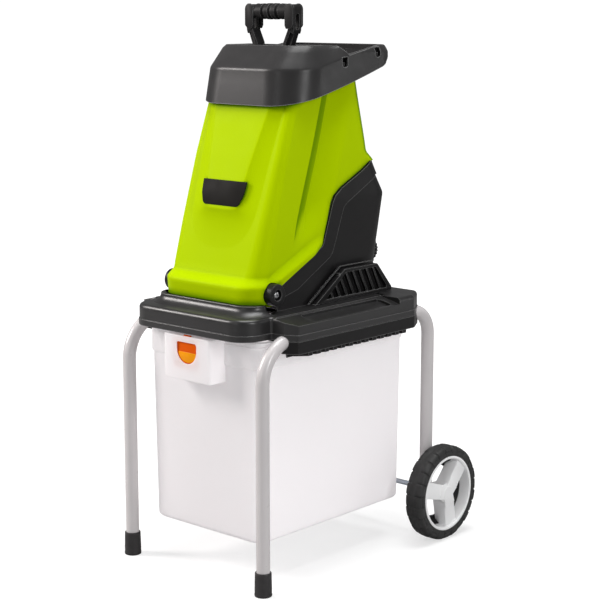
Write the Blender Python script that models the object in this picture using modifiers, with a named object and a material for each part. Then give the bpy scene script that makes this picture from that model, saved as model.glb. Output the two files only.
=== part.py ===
"""Electric wood chipper on a wheeled stand, with a collection box under it.

Metres, +Z up. The origin is on the floor, at the middle of the machine's outline.
The front faces -Y. A depth is measured back from the front legs' axis, and back()
turns it into Y, so most lengths below read as a tape measure would give them.
"""
import math

import bmesh
import bpy
from mathutils import Matrix, Vector

# Driving dimensions.
GAP = 0.0003                # clearance between touching pieces
WALL = 0.003                # moulded plastic wall
FRONT_LEG_Y = -0.2748       # the front legs' axis
WHEELBASE = 0.4756          # front legs' axis to the axle
TUBE_R = 0.0125             # legs: 25 mm tube
TUBE_BORE = 0.0112
LEG_X = 0.1725
LEG_TOP = 0.460             # height of the legs' level stretch, on the base's seam
FRONT_BEND = 0.075
REAR_BEND = 0.050
WHEEL_R = 0.0942
RIM_R = 0.0728
WHEEL_INNER_X = 0.1914
WHEEL_OUTER_X = 0.2314
AXLE_R = 0.005
SEAM = 0.460                # joint between the base's two shells
WING_BOTTOM = 0.437
WING_TOP = 0.4885
PLATEAU = 0.500             # top of the base, where the housing stands
PIVOT = (0.080, 0.534)      # hopper hinge: depth, height
PIVOT_X = (0.117, 0.137)    # inner and outer face of a pivot boss
BOSS_R = 0.020
EAR_R = 0.024
DISC_DEPTH = 0.195
DISC_HEIGHT = 0.615
DISC_TILT = math.radians(18)     # the motor's axis dips this much towards the back
DISC_R = 0.090
HOUSING_X = 0.125
KNOB_HEIGHT = 0.560
PUSHER_DEPTH = 0.219
BOX_TOP = 0.4553
BOX_BOTTOM = 0.078

# The line where the green hopper meets the black housing, as (depth, height).
PARTING = [PIVOT, (0.220, 0.607), (0.245, 0.685), (0.252, 0.697),
           (0.270, 0.710), (0.332, 0.739), (0.357, 0.7535)]


def back(depth):
    """The Y of a point that lies this far behind the front legs' axis."""
    return FRONT_LEG_Y + depth


def start_clean():
    for obj in list(bpy.data.objects):
        bpy.data.objects.remove(obj)
    for name in ("wood_chipper", "cutters"):
        group = bpy.data.collections.new(name)
        bpy.context.scene.collection.children.link(group)


def material(name, colour, roughness, metallic=0.0):
    """A plain Principled material, made once per name."""
    made = bpy.data.materials.get(name)
    if made is None:
        made = bpy.data.materials.new(name)
        made.use_nodes = True
        shader = made.node_tree.nodes["Principled BSDF"]
        shader.inputs["Base Color"].default_value = (*colour, 1.0)
        shader.inputs["Roughness"].default_value = roughness
        shader.inputs["Metallic"].default_value = metallic
        made.diffuse_color = (*colour, 1.0)
    return made


def black_plastic():
    return material("black_plastic", (0.022, 0.022, 0.023), 0.45)


def green_plastic():
    return material("green_plastic", (0.40, 0.62, 0.0), 0.38)


def grey_paint():
    return material("grey_paint", (0.62, 0.60, 0.59), 0.40)


def zinc_steel():
    return material("zinc_steel", (0.60, 0.62, 0.65), 0.30, 1.0)


def plain_steel():
    return material("plain_steel", (0.50, 0.50, 0.52), 0.35, 1.0)


def copper():
    return material("copper", (0.72, 0.32, 0.14), 0.35, 1.0)


def black_rubber():
    return material("black_rubber", (0.028, 0.028, 0.028), 0.75)


def finish(name, mesh, look):
    """Puts a mesh in the model as one object, smooth except at its edges."""
    mesh.materials.clear()
    mesh.materials.append(look)
    mesh.shade_smooth()
    mesh.set_sharp_from_angle(angle=math.radians(35))
    obj = bpy.data.objects.new(name, mesh)
    bpy.data.collections["wood_chipper"].objects.link(obj)
    return obj


def from_bmesh(name, bm, look):
    bmesh.ops.remove_doubles(bm, verts=bm.verts, dist=1e-6)
    bmesh.ops.recalc_face_normals(bm, faces=bm.faces)
    mesh = bpy.data.meshes.new(name)
    bm.to_mesh(mesh)
    bm.free()
    return finish(name, mesh, look)


def from_evaluated(name, source, look, matrix=Matrix()):
    """Turns a curve or a modifier stack into a plain closed mesh object."""
    bpy.context.view_layer.update()
    graph = bpy.context.evaluated_depsgraph_get()
    mesh = bpy.data.meshes.new_from_object(source.evaluated_get(graph))
    placed = matrix @ source.matrix_world
    bpy.data.objects.remove(source)
    bm = bmesh.new()
    bm.from_mesh(mesh)
    bmesh.ops.remove_doubles(bm, verts=bm.verts, dist=1e-5)
    bmesh.ops.transform(bm, matrix=placed, verts=bm.verts)
    return from_bmesh(name, bm, look)


def box(name, low, high, look, bevel=0.0):
    """A box between two corners, its edges bevelled where a width is given."""
    size = [b - a for a, b in zip(low, high)]
    middle = [(a + b) / 2 for a, b in zip(low, high)]
    bm = bmesh.new()
    bmesh.ops.create_cube(bm, size=1.0)
    bmesh.ops.transform(bm, matrix=Matrix.Translation(middle) @ Matrix.Diagonal((*size, 1.0)), verts=bm.verts)
    obj = from_bmesh(name, bm, look)
    if bevel:
        rounding = obj.modifiers.new("edges", "BEVEL")
        rounding.width = bevel
        rounding.segments = 2
    return obj


def cylinder(name, start, end, radius, look, sides=20):
    """A round bar from one point to another."""
    start, end = Vector(start), Vector(end)
    turn = (end - start).to_track_quat("Z", "Y").to_matrix().to_4x4()
    bm = bmesh.new()
    bmesh.ops.create_cone(
        bm, cap_ends=True, segments=sides, radius1=radius, radius2=radius, depth=(end - start).length,
        matrix=Matrix.Translation((start + end) / 2) @ turn)
    return from_bmesh(name, bm, look)


def turned(name, profile, matrix, look, sides=20):
    """A closed or axis-to-axis profile of (radius, height) turned about Z, then placed."""
    mesh = bpy.data.meshes.new(name)
    count = len(profile)
    closed = profile[0][0] > 0 or profile[-1][0] > 0
    edges = [(i, (i + 1) % count) for i in range(count if closed else count - 1)]
    mesh.from_pydata([(r, 0.0, z) for r, z in profile], edges, [])
    source = bpy.data.objects.new(name + "_profile", mesh)
    bpy.context.scene.collection.objects.link(source)
    screw = source.modifiers.new("turn", "SCREW")
    screw.steps = sides
    screw.render_steps = sides
    screw.use_merge_vertices = True
    screw.merge_threshold = 1e-5
    return from_evaluated(name, source, look, matrix)


def tube(name, points, radius, look):
    """A round bar along a line of points."""
    curve = bpy.data.curves.new(name, "CURVE")
    curve.dimensions = "3D"
    curve.bevel_depth = radius
    curve.bevel_resolution = 2
    curve.use_fill_caps = True
    spline = curve.splines.new("POLY")
    spline.points.add(len(points) - 1)
    for knot, place in zip(spline.points, points):
        knot.co = (*place, 1.0)
    source = bpy.data.objects.new(name + "_route", curve)
    bpy.context.scene.collection.objects.link(source)
    return from_evaluated(name, source, look)


def flat_outline(name, points, thickness, matrix, look):
    """A filled flat outline, half its thickness to each side, then placed."""
    curve = bpy.data.curves.new(name, "CURVE")
    curve.dimensions = "2D"
    curve.fill_mode = "BOTH"
    curve.extrude = thickness / 2
    spline = curve.splines.new("POLY")
    spline.points.add(len(points) - 1)
    for knot, (u, v) in zip(spline.points, points):
        knot.co = (u, v, 0.0, 1.0)
    spline.use_cyclic_u = True
    source = bpy.data.objects.new(name + "_outline", curve)
    bpy.context.scene.collection.objects.link(source)
    return from_evaluated(name, source, look, matrix)


def side_plate(name, points, x_low, x_high, look):
    """A side view, as (depth, height) points, made solid between two X values."""
    across = Matrix(((0, 0, 1, (x_low + x_high) / 2), (1, 0, 0, FRONT_LEG_Y), (0, 1, 0, 0), (0, 0, 0, 1)))
    return flat_outline(name, points, x_high - x_low, across, look)


def plan_plate(name, corners, z_low, z_high, look):
    """A plan view, from the corners of its right half, made solid between two heights."""
    level = Matrix.Translation((0.0, 0.0, (z_low + z_high) / 2))
    points = [(x, y) for x, y, _ in plan_ring(corners, 0.0)]
    return flat_outline(name, points, z_high - z_low, level, look)


def inset_corners(corners, inset):
    """Moves every side of a closed outline of (x, y, radius) corners inwards."""
    count = len(corners)
    area = sum(corners[i][0] * corners[(i + 1) % count][1] - corners[(i + 1) % count][0] * corners[i][1]
               for i in range(count))
    inwards = 1.0 if area > 0 else -1.0
    moved = []
    for i, (x, y, radius) in enumerate(corners):
        here = Vector((x, y))
        before = (here - Vector(corners[i - 1][:2])).normalized()
        after = (Vector(corners[(i + 1) % count][:2]) - here).normalized()
        turning = before.cross(after) * inwards
        normal = Vector((-before.y, before.x)) * inwards
        normal_after = Vector((-after.y, after.x)) * inwards
        push = (normal + normal_after) * (inset / (1.0 + normal.dot(normal_after)))
        new_radius = max(radius - math.copysign(inset, turning), 0.0005) if radius else 0.0
        moved.append((x + push.x, y + push.y, new_radius))
    return moved


def arc_steps(radius):
    """Small corners need fewer sides than large ones."""
    return 2 if radius < 0.012 else 4


def rounded(corners, steps):
    """The points of a closed outline whose (x, y, radius) corners are rounded by arcs of so many steps."""
    points = []
    count = len(corners)
    for i, (x, y, radius) in enumerate(corners):
        here = Vector((x, y))
        to_last = (Vector(corners[i - 1][:2]) - here).normalized()
        to_next = (Vector(corners[(i + 1) % count][:2]) - here).normalized()
        if not radius:
            points.append((x, y))
            continue
        half = to_last.angle(to_next) / 2
        centre = here + (to_last + to_next).normalized() * (radius / math.sin(half))
        start = here + to_last * (radius / math.tan(half)) - centre
        sweep = -to_last.angle_signed(to_next)
        turn = math.copysign(math.pi - abs(sweep), -sweep)
        for step in range(steps[i] + 1):
            angle = turn * step / steps[i]
            points.append((centre.x + start.x * math.cos(angle) - start.y * math.sin(angle),
                           centre.y + start.x * math.sin(angle) + start.y * math.cos(angle)))
    return points


def plan_ring(corners, z, inset=0.0):
    """A level or sloping ring from the (x, depth, radius) corners of its right half.

    z is a height, or a function of depth.
    """
    whole = [(x, y, r) for x, y, r in corners] + [(-x, y, r) for x, y, r in reversed(corners)]
    flat = rounded(inset_corners(whole, inset), [arc_steps(r) for _, _, r in whole])
    return [(x, back(y), z(y) if callable(z) else z) for x, y in flat]


def loft(name, rings, look):
    """A closed solid through rings that have the same number of points."""
    bm = bmesh.new()
    levels = [[bm.verts.new(point) for point in ring] for ring in rings]
    for low, high in zip(levels, levels[1:]):
        for i in range(len(low)):
            j = (i + 1) % len(low)
            bm.faces.new((low[i], low[j], high[j], high[i]))
    bm.faces.new(levels[0])
    bm.faces.new(levels[-1])
    return from_bmesh(name, bm, look)


def change(target, operation, *tools):
    """Boolean modifiers on target. The tools become hidden guides."""
    for tool in tools:
        step = target.modifiers.new(tool.name, "BOOLEAN")
        step.operation = operation
        step.object = tool
        if tool.name not in bpy.data.collections["cutters"].objects:
            bpy.data.collections["wood_chipper"].objects.unlink(tool)
            bpy.data.collections["cutters"].objects.link(tool)
            tool.hide_render = True
            tool.display_type = "WIRE"


def cut(target, *tools):
    change(target, "DIFFERENCE", *tools)


def join(target, *tools):
    change(target, "UNION", *tools)


def keep(target, *tools):
    change(target, "INTERSECT", *tools)


def joint_empty(name, place, turn=Matrix()):
    """An empty on a joint's axis, which the moving pieces hang from."""
    empty = bpy.data.objects.new(name, None)
    bpy.data.collections["cutters"].objects.link(empty)
    empty.matrix_world = Matrix.Translation(place) @ turn
    bpy.context.view_layer.update()
    return empty


def hang(empty, *pieces):
    """Parents pieces that are modelled in place."""
    for piece in pieces:
        piece.parent = empty
        piece.matrix_parent_inverse = empty.matrix_world.inverted()


def both_sides(make):
    """Calls make(side name, sign) for the left and the right."""
    return [make("right", 1), make("left", -1)]


# ---------------------------------------------------------------- stand

def leg_route(foot_z, depth, bend, sign, reach):
    """Up from the foot, round the bend and level into the base."""
    route = [(depth, foot_z), (depth, LEG_TOP - bend)]
    for step in range(1, 7):
        angle = math.pi / 2 * step / 6
        route.append((depth + sign * bend * (1 - math.cos(angle)),
                        LEG_TOP - bend + bend * math.sin(angle)))
    route.append((reach, LEG_TOP))
    return route


FRONT_ROUTE = leg_route(0.0066, 0.0, FRONT_BEND, 1, 0.105)
REAR_ROUTE = leg_route(0.075, WHEELBASE, REAR_BEND, -1, 0.370)


def leg_bar(name, route, sign, radius):
    return tube(name, [(sign * LEG_X, back(d), z) for d, z in route], radius, grey_paint())


def leg_sockets():
    """Bars a little thicker than the legs, to cut their sockets in the base."""
    return [leg_bar(f"socket_{name}_{sign}", route, sign, TUBE_R + 2 * GAP)
            for name, route in (("front", FRONT_ROUTE), ("rear", REAR_ROUTE)) for sign in (1, -1)]


def legs():
    def pair(side, sign):
        front = leg_bar(f"front_leg_{side}", FRONT_ROUTE, sign, TUBE_R)
        rear = leg_bar(f"rear_leg_{side}", REAR_ROUTE, sign, TUBE_R)
        for leg, route in ((front, FRONT_ROUTE), (rear, REAR_ROUTE)):
            long_route = [(route[0][0], route[0][1] - 0.002)] + route[1:-1]
            long_route.append((route[-1][0] + math.copysign(0.002, route[-1][0] - route[0][0]), LEG_TOP))
            cut(leg, leg_bar(f"bore_{leg.name}", long_route, sign, TUBE_BORE))
        hole = cylinder(f"axle_hole_{side}", (sign * (LEG_X - 0.02), back(WHEELBASE), WHEEL_R),
                        (sign * (LEG_X + 0.02), back(WHEELBASE), WHEEL_R), AXLE_R + GAP, grey_paint())
        cut(rear, hole)
        foot_profile = [(0.0, 0.0), (0.0155, 0.0), (0.0160, 0.003), (0.0148, 0.045),
                        (TUBE_R + GAP, 0.045), (TUBE_R + GAP, 0.006), (0.0, 0.006)]
        turned(f"front_foot_{side}", foot_profile, Matrix.Translation((sign * LEG_X, back(0), 0)),
               black_plastic(), 20)
    both_sides(pair)


def axle_and_wheels():
    axle_y = back(WHEELBASE)
    cylinder("axle", (-0.2225, axle_y, WHEEL_R), (0.2225, axle_y, WHEEL_R), AXLE_R, zinc_steel())

    def side_pieces(side, sign):
        place = Matrix.Translation((0, axle_y, WHEEL_R)) @ Matrix.Rotation(sign * math.pi / 2, 4, "Y")
        turned(f"axle_clip_{side}", [(AXLE_R + GAP, 0.2204), (0.0095, 0.2204), (0.0095, 0.2218),
                                     (AXLE_R + GAP, 0.2218)], place, plain_steel(), 16)
        turned(f"axle_spacer_{side}", [(AXLE_R + GAP, 0.1854), (0.0100, 0.1854), (0.0100, 0.1884),
                                       (AXLE_R + GAP, 0.1884)], place, black_plastic(), 16)
        empty = joint_empty(f"wheel_axis_{side}", (0, axle_y, WHEEL_R))
        inner, outer = WHEEL_INNER_X, WHEEL_OUTER_X
        middle = (inner + outer) / 2
        rim = turned(f"wheel_rim_{side}", [(0.0640, inner + 0.004), (0.0700, inner + 0.002), (RIM_R, inner + 0.004),
                                           (RIM_R, outer - 0.004), (0.0700, outer - 0.001), (0.0620, outer - 0.004),
                                           (0.0640, middle)], place, material("rim_grey", (0.55, 0.55, 0.56), 0.4), 36)
        hub = turned(f"hub_{side}", [(AXLE_R + GAP, 0.1889), (0.0150, 0.1889), (0.0180, middle),
                                     (0.0180, 0.2200), (AXLE_R + GAP, 0.2200)], place, black_plastic(), 20)
        spokes = []
        for number in range(3):
            angle = math.radians(90 + 120 * number)
            spoke = box(f"spoke_{side}_{number}", (-0.013, 0.014, middle - 0.008), (0.013, 0.0655, middle + 0.012),
                        black_plastic())
            spoke.data.transform(place @ Matrix.Rotation(angle, 4, "Z"))
            spokes.append(spoke)
        join(rim, *spokes, hub)
        bore = cylinder(f"wheel_bore_{side}", (sign * 0.180, axle_y, WHEEL_R), (sign * 0.230, axle_y, WHEEL_R),
                        AXLE_R + GAP, black_plastic())
        cut(rim, bore)
        bead = RIM_R + GAP
        tyre = turned(f"tyre_{side}", [(bead, inner + 0.003), (0.0830, inner), (0.0915, inner + 0.003),
                                       (WHEEL_R, inner + 0.010), (WHEEL_R, outer - 0.010),
                                       (0.0915, outer - 0.003), (0.0830, outer), (bead, outer - 0.003)],
                      place, black_rubber(), 40)
        cap = turned(f"hub_cap_{side}", [(0.0, 0.2262), (0.0165, 0.2262), (0.0165, 0.2238), (0.0180, 0.2238),
                                         (0.0180, 0.2285), (0.0150, 0.2305), (0.0, 0.2305)],
                     place, material("rim_grey", (0.55, 0.55, 0.56), 0.4), 20)
        hang(empty, rim, tyre, cap)
    both_sides(side_pieces)


# ---------------------------------------------------------------- base

BASE_OUTLINE = [(0.150, -0.020, 0.045), (0.150, 0.048, 0.003), (0.178, 0.0505, 0.006),
                (0.2017, 0.064, 0.006), (0.2017, 0.395, 0.010), (0.172, 0.445, 0.015)]
THROAT = [(0.1275, 0.0235, 0.050), (0.1275, 0.0915, 0.001), (0.112, 0.0915, 0.001), (0.112, 0.245, 0.008)]


def base(sockets):
    """The base is two shells that clamp the legs between them."""
    cover = loft("base_cover", [plan_ring(BASE_OUTLINE, SEAM + 0.0002), plan_ring(BASE_OUTLINE, 0.488),
                                plan_ring(BASE_OUTLINE, 0.496, 0.0022), plan_ring(BASE_OUTLINE, PLATEAU, 0.0045)],
                 black_plastic())
    hollow = loft("base_hollow", [plan_ring(BASE_OUTLINE, SEAM - 0.005, WALL), plan_ring(BASE_OUTLINE, 0.485, WALL)],
                  black_plastic())
    crown = plan_plate("base_crown", [(0.146, -0.0165, 0.0415), (0.146, 0.440, 0.008)], 0.470, PLATEAU - WALL,
                       black_plastic())
    collar_outline = [(0.1385, 0.0120, 0.047), (0.1385, 0.068, 0.0)]
    collar = loft("collar", [plan_ring(collar_outline, PLATEAU - 0.001), plan_ring(collar_outline, 0.5165, 0.0075)],
                  black_plastic())
    throat = plan_plate("throat", THROAT, 0.440, 0.530, black_plastic())
    cut(cover, hollow, crown)
    join(cover, collar)
    cut(cover, throat)
    for sign in (1, -1):
        step = box(f"wing_step_{sign}", (min(sign * 0.158, sign * 0.210), back(-0.05), WING_TOP),
                   (max(sign * 0.158, sign * 0.210), back(0.350), 0.520), black_plastic())
        cut(cover, step)
    cut(cover, *sockets)

    tray_outline = [(0.178, 0.0505, 0.006), (0.2017, 0.064, 0.006), (0.2017, 0.395, 0.010), (0.172, 0.445, 0.015)]
    tray = plan_plate("base_tray", tray_outline, WING_BOTTOM, SEAM - 0.0002, black_plastic())
    cut(tray,
        box("box_channel", (-0.1462, back(0.0), 0.430), (0.1462, back(0.4415), 0.4567), black_plastic()),
        box("flange_channel", (-0.1525, back(0.0), 0.4462), (0.1525, back(0.4415), 0.4568), black_plastic()),
        box("chip_opening", (-0.100, back(0.062), 0.450), (0.100, back(0.240), 0.470), black_plastic()))
    for sign in (1, -1):
        pocket = box(f"wing_pocket_{sign}", (min(sign * 0.158, sign * 0.1985), back(0.115), 0.4402),
                     (max(sign * 0.158, sign * 0.1985), back(0.345), 0.470), black_plastic())
        skirt = box(f"wing_skirt_{sign}", (min(sign * 0.1600, sign * 0.1625), back(0.075), 0.4245),
                    (max(sign * 0.1600, sign * 0.1625), back(0.395), 0.4385), black_plastic())
        cut(tray, pocket)
        join(tray, skirt)
    cut(tray, *sockets)


# ---------------------------------------------------------------- motor housing

HOUSING_RINGS = [(PLATEAU + GAP, 0.115, 0.4185, 0.060), (0.555, 0.115, 0.4185, 0.060), (0.612, 0.120, 0.4227, 0.055),
                 (0.690, 0.1245, 0.4285, 0.050), (0.7275, 0.1245, 0.404, 0.050), (0.7545, 0.1245, 0.388, 0.050)]


def housing_ring(z, rear_x, rear_depth, radius, inset=0.0):
    return plan_ring([(HOUSING_X, 0.05, 0.0), (rear_x, rear_depth, radius)], z, inset)


def motor_housing():
    """The black rear shell, open to the front and below, with the two pivot arms."""
    shell = loft("motor_housing", [housing_ring(*ring) for ring in HOUSING_RINGS], black_plastic())
    side = PARTING + [(0.450, 0.7535), (0.450, 0.490), (0.098, 0.490), (0.0930, 0.5185)]
    keep(shell, side_plate("housing_side", side, -0.130, 0.130, black_plastic()))
    inner_rings = [(0.490, *HOUSING_RINGS[0][1:])] + HOUSING_RINGS[1:-1] + [(0.7500, *HOUSING_RINGS[-1][1:])]
    inner = loft("housing_inner", [housing_ring(*ring, inset=0.0035) for ring in inner_rings], black_plastic())
    under_roof = [(0.030, 0.480), (0.030, 0.6930), (0.2535, 0.6930), (0.2717, 0.7063), (0.3337, 0.7352),
                  (0.3587, 0.7498), (0.460, 0.7498), (0.460, 0.480)]
    keep(inner, side_plate("housing_inner_side", under_roof, -0.140, 0.140, black_plastic()))
    cut(shell, inner)
    hinge_y, hinge_z = back(PIVOT[0]), PIVOT[1]
    for sign in (1, -1):
        boss = cylinder(f"pivot_boss_{sign}", (sign * PIVOT_X[0], hinge_y, hinge_z),
                        (sign * PIVOT_X[1], hinge_y, hinge_z), BOSS_R, black_plastic(), 32)
        recess = cylinder(f"pivot_recess_{sign}", (sign * 0.1300, hinge_y, hinge_z), (sign * 0.140, hinge_y, hinge_z),
                          0.0095, black_plastic())
        hole = cylinder(f"pivot_hole_{sign}", (sign * 0.110, hinge_y, hinge_z), (sign * 0.140, hinge_y, hinge_z),
                        0.0034, black_plastic())
        join(shell, boss)
        cut(shell, recess, hole)
        window = side_plate(f"vent_window_{sign}", [(0.225, 0.510), (0.276, 0.549), (0.345, 0.549), (0.345, 0.510)],
                            min(sign * 0.110, sign * 0.135), max(sign * 0.110, sign * 0.135), black_plastic())
        cut(shell, window)
    cut(shell,
        cylinder("stud_hole", (0, back(0.400), KNOB_HEIGHT), (0, back(0.440), KNOB_HEIGHT), 0.0048, black_plastic()),
        box("tongue_slot", (-0.022, back(0.305), 0.700), (0.022, back(0.358), 0.770), black_plastic()))
    bulkhead()
    both_sides(louvre)
    both_sides(pivot_screw)


def bulkhead():
    """The wall behind the knife disc, square to the motor's axis."""
    plate = box("motor_bulkhead", (-0.1165, -0.072, 0.0275), (0.1165, 0.086, 0.0315), black_plastic())
    hole = cylinder("bulkhead_hole", (0, 0, 0.02), (0, 0, 0.04), 0.0100, black_plastic())
    for piece in (plate, hole):
        piece.data.transform(disc_frame())
    cut(plate, hole)


def louvre(side, sign):
    """A vent insert with seven leaning slots, proud of the housing's side."""
    low, high = sorted((sign * (HOUSING_X + GAP), sign * 0.1345))
    outline = [(0.187, 0.5008), (0.268, 0.5575), (0.3625, 0.5575), (0.405, 0.5070), (0.405, 0.5008)]
    frame = side_plate(f"louvre_{side}", outline, low, high, black_plastic())
    for number in range(7):
        foot = 0.232 + 0.0195 * number
        top = min(0.549, 0.5085 + (foot - 0.012 - 0.190) * 0.70)
        lean = (top - 0.5085) * 0.55
        slot = side_plate(f"slot_{side}_{number}", [(foot, 0.5085), (foot + 0.0125, 0.5085),
                                                    (foot + 0.0125 - lean, top), (foot - lean, top)],
                          min(sign * 0.12, sign * 0.14), max(sign * 0.12, sign * 0.14), black_plastic())
        cut(frame, slot)


def pivot_screw(side, sign):
    """The screw that a hopper ear turns on."""
    place = Matrix.Translation((0, back(PIVOT[0]), PIVOT[1])) @ Matrix.Rotation(sign * math.pi / 2, 4, "Y")
    turned(f"pivot_screw_{side}", [(0.0, 0.1010), (0.0030, 0.1010), (0.0030, 0.1304), (0.0065, 0.1304),
                                   (0.0060, 0.1335), (0.0, 0.1345)], place, plain_steel(), 20)


# ---------------------------------------------------------------- motor and knife disc

def disc_frame():
    """The frame of the motor: +Z runs back along its axis from the knife disc."""
    turn = Matrix.Rotation(-math.pi / 2 - DISC_TILT, 4, "X")
    return Matrix.Translation((0, back(DISC_DEPTH), DISC_HEIGHT)) @ turn


def ring(name, inner, outer, low, high, look, sides=20):
    """A flat ring about the motor's axis."""
    return turned(name, [(inner, low), (outer, low), (outer, high), (inner, high)], disc_frame(), look, sides)


def motor_stator():
    """The fixed half of the motor, behind the bulkhead."""
    cast = material("cast_aluminium", (0.55, 0.56, 0.58), 0.45, 1.0)
    turned("front_shield", [(0.0166, 0.0318), (0.0460, 0.0318), (0.0460, 0.0480), (0.0430, 0.0480),
                            (0.0430, 0.0360), (0.0200, 0.0360), (0.0200, 0.0460), (0.0166, 0.0460)],
           disc_frame(), cast)
    turned("rear_shield", [(0.0166, 0.1340), (0.0200, 0.1340), (0.0200, 0.1440), (0.0430, 0.1440),
                           (0.0430, 0.1300), (0.0460, 0.1300), (0.0460, 0.1480), (0.0166, 0.1480)],
           disc_frame(), cast)
    ring("front_bearing", 0.0084, 0.0160, 0.0330, 0.0440, plain_steel(), 16)
    ring("rear_bearing", 0.0084, 0.0160, 0.1355, 0.1465, plain_steel(), 16)
    ring("stator", 0.0262, 0.0450, 0.0640, 0.1100, material("core_steel", (0.20, 0.20, 0.22), 0.5, 0.8))

    def brush(side, sign):
        holder = box(f"brush_holder_{side}", (min(sign * 0.0150, sign * 0.0410), -0.006, 0.116),
                     (max(sign * 0.0150, sign * 0.0410), 0.006, 0.126), material("brass", (0.70, 0.52, 0.20), 0.4, 1.0))
        holder.data.transform(disc_frame())
    both_sides(brush)


def rotor():
    """Everything that turns with the motor's shaft."""
    axis = joint_empty("rotor_axis", (0, back(DISC_DEPTH), DISC_HEIGHT),
                       Matrix.Rotation(-math.pi / 2 - DISC_TILT, 4, "X"))
    shaft = turned("motor_shaft", [(0.0, 0.0200), (0.0043, 0.0200), (0.0043, -0.0015), (0.0080, -0.0015),
                                   (0.0080, 0.1475), (0.0, 0.1475)], disc_frame(), plain_steel(), 16)
    disc = ring("knife_disc", 0.0084, DISC_R, -0.0040, 0.0040, plain_steel(), 32)
    armature = ring("armature", 0.0084, 0.0255, 0.0660, 0.1080, copper())
    commutator = ring("commutator", 0.0084, 0.0142, 0.1150, 0.1280, copper(), 16)
    fan = ring("cooling_fan", 0.0084, 0.0380, 0.0500, 0.0600, black_plastic())
    bolt = turned("disc_bolt", [(0.0, -0.0120), (0.0090, -0.0120), (0.0090, -0.0062), (0.0170, -0.0062),
                                (0.0170, -0.0043), (0.0040, -0.0043), (0.0040, 0.0180), (0.0, 0.0180)],
                  disc_frame(), zinc_steel(), 16)
    pieces = [shaft, disc, armature, commutator, fan, bolt]
    for name, sign in (("knife_upper", -1), ("knife_lower", 1)):
        low, high = sorted((sign * 0.0250, sign * 0.0840))
        knife = box(name, (-0.0130, low, -0.0078), (0.0130, high, -0.0043), plain_steel())
        knife.data.transform(disc_frame())
        pieces.append(knife)
    hang(axis, *pieces)


def controls():
    """The switch box on the housing's back, with its buttons and the mains inlet."""
    front, rear = back(0.4190), back(0.468)
    low, high = 0.5010, 0.5300
    case = box("switch_box", (-0.050, front, low), (0.050, rear, high), black_plastic(), 0.003)
    cut(case, box("switch_hollow", (-0.047, front - 0.002, low + WALL), (0.047, rear - WALL, high - WALL),
                  black_plastic()))
    for name, x, colour in (("on_button", -0.032, (0.02, 0.35, 0.06)), ("off_button", -0.010, (0.60, 0.02, 0.02))):
        cut(case, box(f"{name}_window", (x - 0.0090, rear - 0.010, 0.5080), (x + 0.0090, rear + 0.002, 0.5230),
                      black_plastic()))
        button = box(name, (x - 0.0085, rear - 0.014, 0.5085), (x + 0.0085, rear + 0.0032, 0.5225),
                     material(name, colour, 0.4), 0.001)
        hang(joint_empty(f"{name}_axis", (x, rear, 0.5155)), button)
    inlet_x = 0.026
    cut(case, box("inlet_window", (inlet_x - 0.0135, rear - 0.010, 0.5060), (inlet_x + 0.0135, rear + 0.002, 0.5255),
                  black_plastic()))
    inlet = box("power_inlet", (inlet_x - 0.0130, rear - 0.028, 0.5064), (inlet_x + 0.0130, rear + 0.010, 0.5251),
                black_plastic())
    cut(inlet, box("inlet_bore", (inlet_x - 0.0110, rear - 0.020, 0.5084), (inlet_x + 0.0110, rear + 0.012, 0.5231),
                   black_plastic()))
    pins = [cylinder(f"inlet_pin_{number}", (x, rear - 0.021, 0.5158), (x, rear - 0.004, 0.5158), 0.0015,
                     plain_steel(), 12) for number, x in enumerate((inlet_x - 0.005, inlet_x + 0.005))]
    join(inlet, *pins)
    button_hole = cylinder("reset_hole", (0.040, back(0.440), 0.5158), (0.056, back(0.440), 0.5158), 0.0065,
                           black_plastic())
    cut(case, button_hole)
    reset = cylinder("reset_button", (0.0420, back(0.440), 0.5158), (0.0540, back(0.440), 0.5158), 0.0060,
                     material("reset_button", (0.55, 0.03, 0.02), 0.4), 16)
    hang(joint_empty("reset_button_axis", (0.0500, back(0.440), 0.5158)), reset)
    box("interlock_switch", (0.0240, back(0.384), 0.588), (0.0440, back(0.404), 0.610), black_plastic())


def lock_knob():
    """The knob whose stud holds the hopper's tongue."""
    empty = joint_empty("knob_axis", (0, back(0.470), KNOB_HEIGHT))
    place = Matrix.Translation((0, FRONT_LEG_Y, KNOB_HEIGHT)) @ Matrix.Rotation(-math.pi / 2, 4, "X")
    knob = turned("lock_knob", [(0.0, 0.4600), (0.0044, 0.4600), (0.0044, 0.4300), (0.0130, 0.4300),
                                (0.0150, 0.4700), (0.0280, 0.4760), (0.0285, 0.4960), (0.0240, 0.5010), (0.0, 0.5010)],
                  place, black_plastic(), 24)
    stud = turned("lock_stud", [(0.0, 0.3880), (0.0040, 0.3880), (0.0040, 0.4595), (0.0, 0.4595)],
                  place, zinc_steel(), 20)
    hang(empty, knob, stud)


# ---------------------------------------------------------------- hopper

HOPPER_RINGS = [  # height, half width, front depth, rear depth, front radius
    (0.5170, 0.1215, 0.0300, 0.385, 0.048), (0.5450, 0.1220, 0.0268, 0.385, 0.048),
    (0.5750, 0.1185, 0.0410, 0.385, 0.044), (0.6500, 0.1165, 0.0620, 0.385, 0.040),
    (0.7540, 0.1140, 0.0960, 0.385, 0.034), (0.7725, 0.1135, 0.1020, 0.363, 0.032)]
HOPPER_TOP = (0.1090, 0.1465, 0.3390, 0.026)


def hopper_top_height(depth):
    return 0.895 + (depth - 0.15) * 0.16


def hopper_ring(z, half, front, rear, radius, inset=0.0):
    return plan_ring([(half, front, radius), (half - 0.002, rear, 0.030)], z, inset)


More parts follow.
